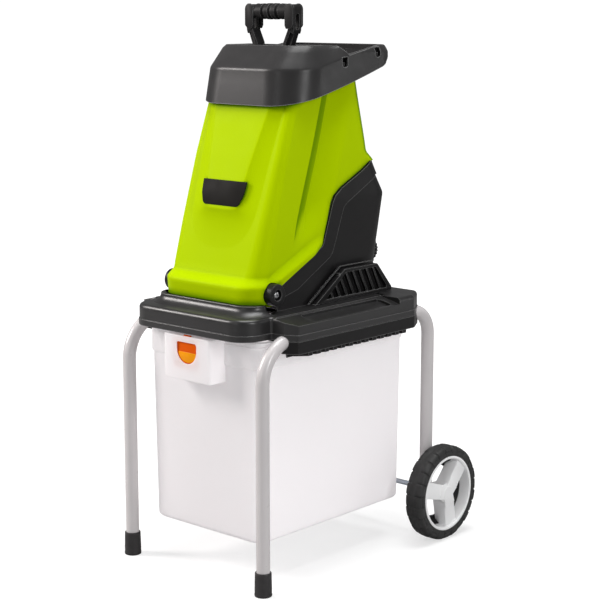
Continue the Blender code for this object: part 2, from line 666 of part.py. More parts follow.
def hopper_shell():
    """The green tower with its flared skirt and the two hinge ears."""
    shell = loft("hopper_shell", [hopper_ring(*ring) for ring in HOPPER_RINGS]
                 + [hopper_ring(hopper_top_height, *HOPPER_TOP)], green_plastic())
    lowest = (0.5100, *HOPPER_RINGS[0][1:])
    hollow = loft("hopper_hollow", [hopper_ring(*ring, inset=0.0032) for ring in [lowest] + HOPPER_RINGS[1:]]
                  + [hopper_ring(lambda depth: hopper_top_height(depth) + 0.004, *HOPPER_TOP, inset=0.0032)],
                  green_plastic())
    clear = 0.0006
    edge = [(d - 0.5 * clear, z + clear) for d, z in PARTING[1:]]
    below = [(PIVOT[0], PIVOT[1] + clear)] + edge + [(0.450, 0.7542), (0.450, 0.490), (0.080, 0.490)]
    cut(shell, hollow, side_plate("housing_space", below, -0.140, 0.140, green_plastic()))
    hinge_y, hinge_z = back(PIVOT[0]), PIVOT[1]
    for sign in (1, -1):
        cut(shell, cylinder(f"boss_space_{sign}", (sign * 0.1100, hinge_y, hinge_z), (sign * 0.140, hinge_y, hinge_z),
                            BOSS_R + 0.0010, green_plastic(), 32))
        ear = cylinder(f"ear_{sign}", (sign * 0.1050, hinge_y, hinge_z), (sign * 0.1166, hinge_y, hinge_z), EAR_R,
                       green_plastic(), 32)
        web = side_plate(f"ear_web_{sign}", [(0.068, 0.550), (0.092, 0.550), (0.100, 0.585), (0.060, 0.585)],
                         min(sign * 0.1070, sign * 0.1160), max(sign * 0.1070, sign * 0.1160), green_plastic())
        join(shell, ear, web)
        cut(shell, cylinder(f"ear_hole_{sign}", (sign * 0.100, hinge_y, hinge_z), (sign * 0.120, hinge_y, hinge_z),
                            0.0034, green_plastic()))
    return shell


def hood_bottom(depth):
    """The height of the hood's lower edge, which sweeps up towards the back."""
    run = max(depth - 0.125, 0.0)
    return 0.865 + 0.20 * run + 0.22 * run * run


def hopper_hood():
    """The black top: a hood over the front, the open feed tray behind it."""
    outline = [(0.1300, 0.1250, 0.070), (0.1280, 0.4220, 0.038)]
    flared = [(0.1325, 0.1220, 0.072), (0.1300, 0.4220, 0.038)]
    crown = [(0.1090, 0.1660, 0.055), (0.1270, 0.4220, 0.038)]
    hood = loft("hopper_hood", [plan_ring(flared, 0.855), plan_ring(outline, 0.930), plan_ring(crown, 0.9725)],
                black_plastic())
    under = [(0.090, 0.840)] + [(d, hood_bottom(d)) for d in (0.110, 0.125, 0.200, 0.290, 0.382)]
    under += [(0.4000, 0.9450), (0.4600, 0.9450), (0.4600, 0.840)]
    over = [(0.2740, 0.990), (0.2740, 0.9700), (0.2850, 0.9535), (0.3780, 0.9720), (0.4600, 0.9720),
            (0.4600, 0.990)]
    cut(hood, side_plate("hood_underside", under, -0.150, 0.150, black_plastic()),
        side_plate("hood_overside", over, -0.150, 0.150, black_plastic()))
    inner = [(0.1270, 0.1280, 0.067), (0.1250, 0.3415, 0.010)]
    inner_crown = [(0.1060, 0.1690, 0.052), (0.1240, 0.3415, 0.010)]
    cut(hood, loft("hood_inside", [plan_ring(inner, 0.845), plan_ring(inner, 0.928), plan_ring(inner_crown, 0.9695)],
                   black_plastic()))
    mouth = [(0.2860, 0.900), (0.3370, hood_bottom(0.337) + WALL), (0.3860, hood_bottom(0.386) + WALL),
             (0.4020, 0.9500), (0.4020, 1.000), (0.2860, 1.000)]
    cut(hood, side_plate("feed_mouth", mouth, -0.1170, 0.1170, black_plastic()),
        box("pusher_slot", (-0.0560, back(PUSHER_DEPTH - 0.017), 0.960),
            (0.0560, back(PUSHER_DEPTH + 0.017), 0.980), black_plastic()))
    return hood


def feed_chute():
    """The inner duct from the feed mouth down to the knife disc."""
    outer = [(0.152, 0.885), (0.322, 0.900), (0.316, 0.800), (0.2118, 0.7035), (0.1858, 0.6235), (0.162, 0.6100),
             (0.128, 0.680), (0.128, 0.760)]
    inner = [(0.1545, 0.905), (0.3195, 0.905), (0.3135, 0.8015), (0.2080, 0.7045), (0.2300, 0.6950), (0.2000, 0.6265),
             (0.1640, 0.6145), (0.1305, 0.6805), (0.1305, 0.7600)]
    duct = side_plate("feed_chute", outer, -0.0780, 0.0780, black_plastic())
    cut(duct, side_plate("duct_inside", inner, -0.0755, 0.0755, black_plastic()), bolt_notch("duct_notch"))
    return duct


def bolt_notch(name):
    """Room for the disc bolt's head, which turns close in front of the chute's lip."""
    return box(name, (-0.0210, back(0.1740), 0.590), (0.0210, back(0.2100), 0.642), black_plastic())


def label_plate():
    """A blank plate on the tower's sloping front."""
    half, height, thick = 0.055, 0.047, 0.0012
    corners = [(half, 0.0, 0.0), (half * 0.93, -height, 0.012)]
    whole = corners + [(-x, y, r) for x, y, r in reversed(corners)]
    slope = math.atan2(0.0960 - 0.0620, 0.7540 - 0.6500)
    tilt = Matrix.Rotation(math.pi / 2 - slope, 4, "X")
    front = 0.0620 + (0.7300 - 0.6500) * math.tan(slope)
    place = Matrix.Translation((0.0, back(front - 0.0012), 0.7300)) @ tilt
    points = rounded(whole, [arc_steps(r) for _, _, r in whole])
    return flat_outline("label_plate", points, thick, place, black_plastic())


def anvil_plate():
    """The fixed counter-knife on the chute's lower lip."""
    anvil = side_plate("anvil_plate", [(0.1655, 0.6065), (0.1805, 0.6065), (0.1832, 0.6150), (0.1838, 0.6218),
                                       (0.1700, 0.6125)], -0.0700, 0.0700, plain_steel())
    cut(anvil, bolt_notch("anvil_notch"))
    return anvil


def lock_tongue():
    """A curved strap round the hinge, slotted at its lower end for the knob's stud."""
    inner, outer = 0.318, 0.327
    steps = 10
    low, high = math.radians(3.0), math.radians(43.0)
    angles = [low + (high - low) * step / steps for step in range(steps + 1)]
    arc = [(PIVOT[0] + inner * math.cos(a), PIVOT[1] + inner * math.sin(a)) for a in angles]
    arc_back = [(PIVOT[0] + outer * math.cos(a), PIVOT[1] + outer * math.sin(a)) for a in reversed(angles)]
    foot = [(0.3125, 0.7800), (0.3560, 0.7800), (0.3570, 0.7700), (0.3230, 0.7700)]
    tongue = side_plate("lock_tongue", arc + foot + arc_back, -0.0180, 0.0180, plain_steel())
    cut(tongue, box("stud_slot", (-0.0048, back(0.380), 0.530), (0.0048, back(0.420), KNOB_HEIGHT + 0.006),
                    plain_steel()))
    return tongue


def pusher():
    """The ram: a D-handle over a ribbed plate that hangs in the chute."""
    y0, y1 = back(PUSHER_DEPTH - 0.0155), back(PUSHER_DEPTH + 0.0155)
    outer = [(0.0585, 0.9990), (0.0600, 1.0400), (0.0560, 1.0470), (0.0300, 1.0490)]
    outline = [(0.0420, 0.9640)] + outer + [(-x, z) for x, z in reversed(outer)] + [(-0.0420, 0.9640)]
    window = [(0.0330, 0.9730), (0.0440, 0.9960), (0.0440, 1.0330), (-0.0440, 1.0330), (-0.0440, 0.9960),
              (-0.0330, 0.9730)]
    upright = Matrix(((1, 0, 0, 0), (0, 0, -1, (y0 + y1) / 2), (0, 1, 0, 0), (0, 0, 0, 1)))
    handle = flat_outline("pusher", outline, y1 - y0, upright, black_plastic())
    gap = flat_outline("handle_gap", window, 0.060, upright, black_plastic())
    shaft = box("pusher_shaft", (-0.0480, back(PUSHER_DEPTH - 0.0125), 0.8000),
                (0.0480, back(PUSHER_DEPTH + 0.0125), 0.9660), black_plastic())
    cut(handle, gap)
    join(handle, shaft)
    for number, x in enumerate((-0.0315, -0.0105, 0.0105, 0.0315)):
        for sign in (1, -1):
            near, far = sorted((back(PUSHER_DEPTH + sign * 0.0020), back(PUSHER_DEPTH + sign * 0.0200)))
            cut(handle, box(f"shaft_pocket_{number}_{sign}", (x - 0.0090, near, 0.8030), (x + 0.0090, far, 0.9600),
                            black_plastic()))
    return handle


def hopper():
    """The tilting hopper with its fittings, and the ram that lifts out of it."""
    hinge = joint_empty("hopper_hinge", (0, back(PIVOT[0]), PIVOT[1]))
    lift = joint_empty("pusher_lift", (0, back(PUSHER_DEPTH), 0.9700))
    hang(lift, pusher())
    hang(hinge, hopper_shell(), hopper_hood(), feed_chute(), label_plate(), anvil_plate(), lock_tongue(), lift)


# ---------------------------------------------------------------- collection box

def box_ring(z, grow=0.0):
    """The box's outline at a height: it widens a little towards the top."""
    share = (z - BOX_BOTTOM) / (BOX_TOP - BOX_BOTTOM)
    half = 0.139 + 0.003 * share + grow
    front, rear = 0.027 - 0.005 * share - grow, 0.4325 + 0.004 * share + grow
    return plan_ring([(half, front, 0.022), (half, rear, 0.014)], z)


def collection_box():
    """The open-topped box with its hollow front handle and the sliding lock."""
    plastic = material("milky_plastic", (0.82, 0.81, 0.82), 0.45)
    body = loft("box_shell", [box_ring(BOX_BOTTOM), box_ring(0.405), box_ring(0.4055, 0.002), box_ring(0.4445, 0.002),
                              box_ring(BOX_TOP, 0.002)], plastic)
    flange = plan_plate("box_flange", [(0.1505, 0.021, 0.020), (0.1505, 0.4400, 0.010)], 0.4478, BOX_TOP - 0.0002,
                        plastic)
    handle = box("box_handle", (-0.0600, back(-0.0180), 0.3730), (0.0600, back(0.0270), BOX_TOP - 0.0004), plastic)
    join(body, flange, handle)
    wall = 0.0028
    cut(body, loft("box_inside", [box_ring(BOX_BOTTOM + wall, -wall), box_ring(BOX_TOP + 0.004, -wall)], plastic),
        box("box_grip", (-0.0575, back(-0.0155), 0.3650), (0.0575, back(0.0190), 0.4528), plastic),
        box("latch_window", (-0.0240, back(-0.0200), 0.4050), (0.0240, back(-0.0150), 0.4460), plastic),
        box("latch_notch", (-0.0100, back(-0.0155), 0.4500), (0.0100, back(-0.0090), 0.4600), plastic))
    orange = material("orange_plastic", (0.90, 0.25, 0.0), 0.4)
    latch = box("box_latch", (-0.0280, back(-0.0151), 0.3960), (0.0280, back(-0.0121), 0.4522), orange)
    join(latch, box("latch_grip", (-0.0225, back(-0.0178), 0.4320), (0.0225, back(-0.0145), 0.4440), orange),
         box("latch_hook", (-0.0092, back(-0.0149), 0.4500), (0.0092, back(-0.0123), 0.4575), orange))
    buffers = [cylinder(f"box_buffer_{side}", (x, back(0.4352), 0.320), (x, back(0.4430), 0.320), 0.0055,
                        black_rubber(), 16) for side, x in (("right", 0.118), ("left", -0.118))]
    guide = box("latch_guide", (-0.0300, back(-0.0115), 0.3900), (0.0300, back(-0.0095), 0.4480), plastic)
    slide = joint_empty("box_slide", (0, back(0.0), BOX_TOP))
    latch_slide = joint_empty("latch_slide", (0, back(-0.0136), 0.4380))
    hang(latch_slide, latch)
    hang(slide, body, guide, *buffers, latch_slide)


def build():
    start_clean()
    legs()
    axle_and_wheels()
    sockets = leg_sockets()
    base(sockets)
    motor_housing()
    motor_stator()
    rotor()
    controls()
    lock_knob()
    hopper()
    collection_box()


build()
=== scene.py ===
"""The looks of an electric wood chipper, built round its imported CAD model.

Metres, +Z up, the front faces -Y. A depth is measured back from the front legs' axis,
and back() turns it into Y.
"""
import math

import bmesh
import bpy
import numpy as np
from mathutils import Matrix, Vector


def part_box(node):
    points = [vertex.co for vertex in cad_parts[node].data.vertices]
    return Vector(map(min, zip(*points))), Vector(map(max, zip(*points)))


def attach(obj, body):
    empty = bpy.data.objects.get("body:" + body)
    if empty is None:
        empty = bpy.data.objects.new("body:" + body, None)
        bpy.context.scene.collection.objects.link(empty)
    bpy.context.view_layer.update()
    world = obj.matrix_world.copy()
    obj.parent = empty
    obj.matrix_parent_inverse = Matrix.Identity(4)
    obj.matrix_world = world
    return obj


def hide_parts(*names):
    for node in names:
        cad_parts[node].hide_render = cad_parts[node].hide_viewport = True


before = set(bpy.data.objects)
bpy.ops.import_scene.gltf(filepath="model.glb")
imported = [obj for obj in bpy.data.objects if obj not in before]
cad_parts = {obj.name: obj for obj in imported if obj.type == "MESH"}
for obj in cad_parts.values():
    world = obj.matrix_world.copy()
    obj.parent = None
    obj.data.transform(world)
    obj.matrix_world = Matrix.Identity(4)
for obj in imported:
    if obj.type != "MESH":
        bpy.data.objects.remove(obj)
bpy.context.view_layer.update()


def middle_of(node):
    """The middle of a CAD node's box."""
    low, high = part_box(node)
    return (low + high) / 2


FOOT = middle_of("front_foot_right")
AXLE = middle_of("axle")
HINGE = middle_of("pivot_screw_right")
KNOB = middle_of("lock_stud")
FRONT_LEG_Y = FOOT.y
LEG_X = FOOT.x
TUBE_R = 0.0125     # the legs' tube
SEAM = 0.46        # the height where the base's cover meets its tray
PLATEAU = 0.5     # the height of the base's flat top
WHEELBASE = AXLE.y - FRONT_LEG_Y
HINGE_DEPTH = HINGE.y - FRONT_LEG_Y
SIDES = (("right", 1), ("left", -1))
CLIP_WINDOWS = ((0.2725, 0.9425), (0.368, 0.959))     # (depth, height) on the hood's sides


def back(depth):
    """The Y that lies a depth behind the front legs' axis."""
    return FRONT_LEG_Y + depth


# ---------------------------------------------------------------- materials

NUMBERS = ("FLOAT", 2, 3, 0)       # a mix node's type, its two entries and its result
COLOURS = ("RGBA", 6, 7, 2)


def shader_nodes(name):
    """A new material, its node tree and its main shader."""
    look = bpy.data.materials.new(name)
    look.use_nodes = True
    tree = look.node_tree
    return look, tree, tree.nodes["Principled BSDF"]


def feed(node, entries):
    """Gives a node's inputs their plain values or links."""
    for name, value in entries.items():
        entry = node.inputs[name]
        if isinstance(value, bpy.types.NodeSocket):
            node.id_data.links.new(value, entry)
        else:
            entry.default_value = (*value, 1.0) if entry.type == "RGBA" else value


def made(tree, kind, entries=None, **settings):
    """A new shader node with its settings and inputs."""
    node = tree.nodes.new("ShaderNode" + kind)
    for name, value in settings.items():
        setattr(node, name, value)
    feed(node, entries or {})
    return node


def noise(tree, scale, detail=4.0, stretch=(1, 1, 1)):
    """A noise texture in the object's own metres."""
    place = made(tree, "TexCoord").outputs["Object"]
    mapping = made(tree, "Mapping", {"Vector": place, "Scale": stretch})
    texture = made(tree, "TexNoise", {"Vector": mapping.outputs["Vector"], "Scale": scale, "Detail": detail})
    return texture.outputs["Fac"]


def spread(tree, value, low, high, start=0.3, end=0.7):
    """Maps a noise to a range of numbers."""
    return made(tree, "MapRange", {"Value": value, "From Min": start, "From Max": end, "To Min": low,
                                   "To Max": high}).outputs["Result"]


def mixed(tree, factor, first, second, kind=COLOURS):
    """Mixes two colours or two numbers by a factor."""
    data_type, entry, other_entry, result = kind
    node = made(tree, "Mix", {0: factor, entry: first, other_entry: second}, data_type=data_type)
    return node.outputs[result]


def maths(tree, operation, *values):
    """A calculation on one or two values, held between 0 and 1."""
    return made(tree, "Math", dict(enumerate(values)), operation=operation, use_clamp=True).outputs[0]


def blotches(tree, first, second, scale, detail=4.0):
    """Two close colours that run into each other."""
    return mixed(tree, spread(tree, noise(tree, scale, detail), 0.0, 1.0), first, second)


def grain(tree, shader, height, strength, distance, edge=0.0):
    """A fine bump over softly rounded edges."""
    bump = made(tree, "Bump", {"Strength": strength, "Distance": distance, "Height": height})
    if edge:
        feed(bump, {"Normal": made(tree, "Bevel", {"Radius": edge}, samples=4).outputs["Normal"]})
    feed(shader, {"Normal": bump.outputs["Normal"]})


def highlight_and_wear_edges(tree, colour, edge_highlight_and_wear):
    """Lightens a thin line along the convex edges: a painted highlight where rounded edges would catch the
    light, and a little rub wear.
    """
    geometry = made(tree, "NewGeometry")
    rounding = made(tree, "Bevel", {"Radius": 0.002}, samples=6)
    lean = made(tree, "VectorMath", {0: geometry.outputs["Normal"], 1: rounding.outputs["Normal"]},
                operation="DOT_PRODUCT")
    near_edge = spread(tree, lean.outputs["Value"], 1.0, 0.0, 0.88, 0.995)
    convex = spread(tree, geometry.outputs["Pointiness"], 0.0, 1.0, 0.5, 0.52)
    return mixed(tree, maths(tree, "MULTIPLY", near_edge, convex), colour, (edge_highlight_and_wear, edge_highlight_and_wear, edge_highlight_and_wear))


def painted_shade(tree, colour, painted_shade_colour):
    """Paints shade into the colour: darker in hollows and along inner corners, and on the sides' slopes that
    face back, away from the lamps.
    """
    shelter = made(tree, "AmbientOcclusion", {"Distance": 0.014}, samples=12)
    open_share = spread(tree, shelter.outputs["AO"], 0.0, 1.0, 0.6, 0.985)
    normal = made(tree, "SeparateXYZ", {0: made(tree, "TexCoord").outputs["Normal"]})
    sideways = maths(tree, "ABSOLUTE", normal.outputs["X"])
    # painted shade on the side faces that turn backwards
    back_slope_shade = maths(tree, "MULTIPLY", spread(tree, normal.outputs["Y"], 0.0, 0.8, 0.1, 0.36),
                spread(tree, sideways, 0.0, 1.0, 0.55, 0.75))
    return mixed(tree, maths(tree, "SUBTRACT", open_share, back_slope_shade), painted_shade_colour, colour)


def moulded(name, colour, shade, roughness, grain_size=0.0006, depth=0.35, edge=0.0007, edge_highlight_and_wear=None, sheen=0.5,
            glint=(1.0, 1.0, 1.0), painted_shade_colour=None):
    """A moulded plastic: fine spark-eroded grain, faint flow marks, slightly uneven gloss."""
    look, tree, shader = shader_nodes(name)
    tint = blotches(tree, colour, shade, 7.0)
    # paints a highlight, partly wear, along the convex edges
    if edge_highlight_and_wear:
        tint = highlight_and_wear_edges(tree, tint, edge_highlight_and_wear)
    # paints shade into hollows and onto back-facing side slopes
    if painted_shade_colour:
        tint = painted_shade(tree, tint, painted_shade_colour)
    gloss = spread(tree, noise(tree, 35.0, 6.0), roughness - 0.04, roughness + 0.05)
    feed(shader, {"Base Color": tint, "Roughness": gloss, "Specular IOR Level": sheen,
                  "Specular Tint": glint})
    grain(tree, shader, noise(tree, 1.0 / grain_size, 2.0), depth, 0.00006, edge)
    return look


def powder_coat():
    """Warm grey paint with a faint orange peel."""
    look, tree, shader = shader_nodes("powder_coat")
    feed(shader, {"Base Color": blotches(tree, (0.56, 0.535, 0.54), (0.59, 0.565, 0.57), 12.0),
                  "Roughness": spread(tree, noise(tree, 60.0), 0.27, 0.36),
                  "Coat Weight": 0.35, "Coat Roughness": 0.18})
    grain(tree, shader, noise(tree, 420.0, 3.0), 0.25, 0.0001)
    return look


def milky_plastic():
    """Translucent natural polypropylene: lets soft light through, scatters the rest, and glows with painted
    light, stronger on faces turned to +X.
    """
    look, tree, shader = shader_nodes("milky_polypropylene")
    normal = made(tree, "SeparateXYZ", {0: made(tree, "NewGeometry").outputs["Normal"]})
    feed(shader, {"Base Color": blotches(tree, (0.875, 0.855, 0.862), (0.905, 0.885, 0.892), 5.0),
                  "Roughness": spread(tree, noise(tree, 40.0), 0.34, 0.46),
                  # painted light: the box emits a glow, stronger on its faces turned to +X
                  "Emission Color": (1.0, 0.98, 0.99),
                  "Emission Strength": spread(tree, normal.outputs["X"], 0.13, 0.32, 0.1, 0.9),
                  "Subsurface Weight": 0.25, "Subsurface Radius": (0.012, 0.01, 0.01),
                  "Subsurface Scale": 1.0})
    grain(tree, shader, noise(tree, 900.0, 2.0), 0.2, 0.00008, 0.001)
    through = made(tree, "BsdfTranslucent", {"Color": (0.96, 0.95, 0.96)})
    mix = made(tree, "MixShader", {"Fac": 0.45, 1: shader.outputs["BSDF"], 2: through.outputs["BSDF"]})
    feed(tree.nodes["Material Output"], {"Surface": mix.outputs["Shader"]})
    return look


def rubber(name, colour, shade):
    """Dull rubber with a fine, uneven skin."""
    look, tree, shader = shader_nodes(name)
    feed(shader, {"Base Color": blotches(tree, colour, shade, 30.0, 6.0),
                  "Roughness": spread(tree, noise(tree, 80.0), 0.5, 0.68)})
    grain(tree, shader, noise(tree, 1400.0, 3.0), 0.4, 0.00008, 0.0006)
    return look


def metal(name, colour, shade, roughness, stretch=(1, 1, 1)):
    """Bare or plated steel with fine marks drawn out along one direction."""
    look, tree, shader = shader_nodes(name)
    gloss = spread(tree, noise(tree, 200.0, 4.0, stretch), roughness - 0.06, roughness + 0.1)
    feed(shader, {"Base Color": blotches(tree, colour, shade, 60.0, 5.0), "Roughness": gloss,
                  "Metallic": 1.0})
    grain(tree, shader, noise(tree, 500.0, 3.0, stretch), 0.15, 0.00005)
    return look


# The edge greys paint a highlight, with a little wear, along the convex edges.
BLACK = moulded("black_moulding", (0.0075, 0.007, 0.0073), (0.01, 0.0095, 0.01), 0.38, edge_highlight_and_wear=0.17, sheen=0.2)
BASE_BLACK = moulded("base_moulding", (0.013, 0.0125, 0.013), (0.017, 0.0165, 0.017), 0.34, edge_highlight_and_wear=0.14,
                     sheen=0.55)
HOOD_BLACK = moulded("hood_moulding", (0.025, 0.0243, 0.0247), (0.029, 0.0283, 0.0287), 0.32, depth=0.5,
                     edge_highlight_and_wear=0.28, sheen=0.22)
BLACK_MATT = moulded("black_grained", (0.012, 0.0115, 0.012), (0.016, 0.0155, 0.016), 0.48, 0.0009, 0.7,
                     edge_highlight_and_wear=0.12, sheen=0.12)
# The last colour is the painted shade for the tower's hollows and back-facing slopes.
GREEN = moulded("green_moulding", (0.395, 0.56, 0.0), (0.385, 0.545, 0.0), 0.42, 0.0007, 0.18, sheen=0.02,
                glint=(0.85, 1.0, 0.05), painted_shade_colour=(0.11, 0.24, 0.0))
LABEL = moulded("label_gloss", (0.008, 0.007, 0.006), (0.01, 0.009, 0.008), 0.55, depth=0.1, edge=0.0004,
                sheen=0.06)
ORANGE = moulded("orange_moulding", (0.68, 0.085, 0.0), (0.72, 0.1, 0.0), 0.4, edge=0.001, sheen=0.05)
AMBER = moulded("amber_lip", (0.86, 0.3, 0.0), (0.9, 0.34, 0.0), 0.36, edge=0.001, sheen=0.1)
RIM = moulded("light_grey_moulding", (0.86, 0.86, 0.865), (0.9, 0.9, 0.905), 0.4, edge_highlight_and_wear=0.92)
GREEN_BUTTON = moulded("green_button", (0.02, 0.33, 0.06), (0.03, 0.36, 0.07), 0.35)
RED_BUTTON = moulded("red_button", (0.58, 0.02, 0.02), (0.62, 0.03, 0.02), 0.35)
PAINT = powder_coat()
MILKY = milky_plastic()
TYRE = rubber("tyre_rubber", (0.012, 0.012, 0.012), (0.02, 0.0195, 0.0195))
FOOT_RUBBER = rubber("foot_rubber", (0.015, 0.013, 0.014), (0.02, 0.018, 0.019))
ZINC = metal("zinc_plating", (0.52, 0.6, 0.7), (0.62, 0.66, 0.72), 0.28, (0.1, 1, 1))
STEEL = metal("ground_steel", (0.44, 0.44, 0.45), (0.52, 0.52, 0.53), 0.3, (1, 0.1, 1))
COPPER = metal("copper_winding", (0.72, 0.32, 0.14), (0.78, 0.38, 0.18), 0.35, (1, 0.05, 1))
BRASS = metal("brass", (0.7, 0.52, 0.2), (0.76, 0.58, 0.25), 0.35)
ALUMINIUM = metal("cast_aluminium", (0.34, 0.35, 0.36), (0.42, 0.43, 0.44), 0.48)
CORE = metal("core_steel", (0.18, 0.18, 0.2), (0.24, 0.24, 0.26), 0.5, (1, 0.03, 1))

NODE_LOOKS = {
    BLACK: ("base_tray", "motor_bulkhead", "axle_spacer_right", "axle_spacer_left", "switch_box",
            "power_inlet", "interlock_switch", "feed_chute", "cooling_fan"),
    ZINC: ("axle", "disc_bolt", "lock_stud"),
    STEEL: ("axle_clip_right", "axle_clip_left", "front_bearing", "rear_bearing", "anvil_plate",
            "lock_tongue", "motor_shaft", "knife_disc", "knife_upper", "knife_lower"),
    COPPER: ("armature", "commutator"),
    BRASS: ("brush_holder_right", "brush_holder_left"),
    ALUMINIUM: ("front_shield", "rear_shield"),
    CORE: ("stator",),
    TYRE: ("box_buffer_right", "box_buffer_left"),
    GREEN_BUTTON: ("on_button",),
    RED_BUTTON: ("off_button", "reset_button"),
    MILKY: ("latch_guide",),
}


def dress_cad_nodes():
    """Gives each carried-over CAD node its material."""
    for look, nodes in NODE_LOOKS.items():
        for node in nodes:
            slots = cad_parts[node].data.materials
            slots.clear()
            slots.append(look)


# ---------------------------------------------------------------- mesh helpers

def shade(mesh, angle=32):
    """Smooth shading that breaks at the sharp edges."""
    mesh.shade_smooth()
    mesh.set_sharp_from_angle(angle=math.radians(angle))


def piece(name, points, faces, look, sharp=32):
    """A new mesh object with one material."""
    mesh = bpy.data.meshes.new(name)
    mesh.from_pydata([tuple(p) for p in points], [], [tuple(f) for f in faces])
    mesh.materials.append(look)
    shade(mesh, sharp)
    obj = bpy.data.objects.new(name, mesh)
    bpy.context.scene.collection.objects.link(obj)
    return obj


def facing_out(obj, sharp=32):
    """Turns every face of a closed mesh outwards."""
    bm = bmesh.new()
    bm.from_mesh(obj.data)
    bmesh.ops.recalc_face_normals(bm, faces=bm.faces)
    bm.to_mesh(obj.data)
    bm.free()
    shade(obj.data, sharp)
    return obj


def ring_quads(levels, count, start=0, flip=False):
    """Quads between stacked rings of points."""
    row = np.arange(levels - 1)[:, None] * count
    here = np.arange(count)[None, :]
    after = (here + 1) % count
    corners = [row + here, row + after, row + count + after, row + count + here]
    quads = np.stack(corners, -1).reshape(-1, 4) + start
    return [tuple(q) for q in (quads[:, ::-1] if flip else quads)]


def solid(name, rings, look=BLACK):
    """A closed solid through stacked rings, capped at both ends."""
    rings = np.asarray(rings, float)
    levels, count = rings.shape[:2]
    faces = ring_quads(levels, count)
    faces.append(tuple(range(count - 1, -1, -1)))
    faces.append(tuple(range((levels - 1) * count, levels * count)))
    return piece(name, rings.reshape(-1, 3), faces, look)


def loop(name, rings, look):
    """A closed solid whose last ring joins its first, like a torus."""
    points = np.array(rings).reshape(-1, 3)
    faces = [tuple(i % len(points) for i in face) for face in ring_quads(len(rings) + 1, len(rings[0]))]
    return piece(name, points, faces, look)


def shell(name, outer, inner, look):
    """A wall between an outer and an inner stack of rings, open at both ends."""
    outer, inner = np.asarray(outer, float), np.asarray(inner, float)
    count = outer.shape[1]
    start = outer.shape[0] * count
    faces = ring_quads(outer.shape[0], count) + ring_quads(inner.shape[0], count, start, flip=True)
    last_outer, last_inner = start - count, start + (inner.shape[0] - 1) * count
    for i in range(count):
        j = (i + 1) % count
        faces.append((start + i, start + j, j, i))
        faces.append((last_outer + i, last_outer + j, last_inner + j, last_inner + i))
    points = np.concatenate([outer.reshape(-1, 3), inner.reshape(-1, 3)])
    return piece(name, points, faces, look)


def bake(obj, sharp=32):
    """Applies an object's modifiers."""
    bpy.context.view_layer.update()
    graph = bpy.context.evaluated_depsgraph_get()
    mesh = bpy.data.meshes.new_from_object(obj.evaluated_get(graph))
    obj.modifiers.clear()
    obj.data = mesh
    shade(mesh, sharp)
    return obj


def carve(target, *tools, how="DIFFERENCE", sharp=32):
    """Cuts, joins or keeps with closed tools, then throws the tools away."""
    for tool in tools:
        step = target.modifiers.new("carve", "BOOLEAN")
        step.solver = "MANIFOLD"
        step.operation = how
        step.object = tool
    bake(target, sharp)
    for tool in tools:
        bpy.data.objects.remove(tool)
    return target


def soften(obj, width, segments=3, angle=35, sharp=32):
    """Rounds an object's edges with real geometry."""
    step = obj.modifiers.new("round", "BEVEL")
    step.width = width
    step.segments = segments
    step.limit_method = "ANGLE"
    step.angle_limit = math.radians(angle)
    return bake(obj, sharp)


def settle(obj, body, *nodes, slot=None):
    """The piece rides on a body, and stands for the CAD nodes named."""
    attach(obj, body)
    if nodes:
        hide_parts(*nodes)
    return obj


def arc(centre, radius, start, end, steps):
    """Points round an arc, in degrees."""
    return [(centre[0] + radius * math.cos(math.radians(a)), centre[1] + radius * math.sin(math.radians(a)))
            for a in np.linspace(start, end, steps + 1)]


def fillet(corners, steps=8):
    """A closed outline whose (u, v, radius) corners are rounded."""
    points = []
    count = len(corners)
    for i, (x, y, radius) in enumerate(corners):
        here = Vector((x, y))
        to_last = (Vector(corners[i - 1][:2]) - here).normalized()
        to_next = (Vector(corners[(i + 1) % count][:2]) - here).normalized()
        if not radius:
            points.append((x, y))
            continue
        half = to_last.angle(to_next) / 2
        centre = here + (to_last + to_next).normalized() * (radius / math.sin(half))
        start = here + to_last * (radius / math.tan(half)) - centre
        sweep = -to_last.angle_signed(to_next)
        turn = math.copysign(math.pi - abs(sweep), -sweep)
        for step in range(steps + 1):
            a = turn * step / steps
            points.append((centre.x + start.x * math.cos(a) - start.y * math.sin(a),
                           centre.y + start.x * math.sin(a) + start.y * math.cos(a)))
    return points


def twice_area(points):
    """Twice the area inside a closed outline, above 0 if it runs anticlockwise."""
    return sum(points[i - 1][0] * points[i][1] - points[i][0] * points[i - 1][1] for i in range(len(points)))


def inset_corners(corners, inset):
    """Moves every side of a closed outline of (x, y, radius) corners inwards."""
    count = len(corners)
    inwards = 1.0 if twice_area(corners) > 0 else -1.0
    moved = []
    for i, (x, y, radius) in enumerate(corners):
        here = Vector((x, y))
        before = (here - Vector(corners[i - 1][:2])).normalized()
        after = (Vector(corners[(i + 1) % count][:2]) - here).normalized()
        turning = before.cross(after) * inwards
        normal = Vector((-before.y, before.x)) * inwards
        normal_after = Vector((-after.y, after.x)) * inwards
        push = (normal + normal_after) * (inset / (1.0 + normal.dot(normal_after)))
        new_radius = max(radius - math.copysign(inset, turning), 0.0004) if radius else 0.0
        moved.append((x + push.x, y + push.y, new_radius))
    return moved


def plan(corners, z, inset=0.0, steps=8):
    """A level ring from the (x, depth, radius) corners of its right half, front to back."""
    whole = [(x, y, r) for x, y, r in corners] + [(-x, y, r) for x, y, r in reversed(corners)]
    return [(x, back(y), z) for x, y in fillet(inset_corners(whole, inset), steps)]


def prism(name, outline, low, high, look, place):
    """An outline made solid: place(u, v, w) gives a point, w running from low to high."""
    if twice_area(outline) < 0:
        outline = outline[::-1]
    rings = [[place(u, v, w) for u, v in outline] for w in (low, high)]
    return facing_out(solid(name, rings, look))


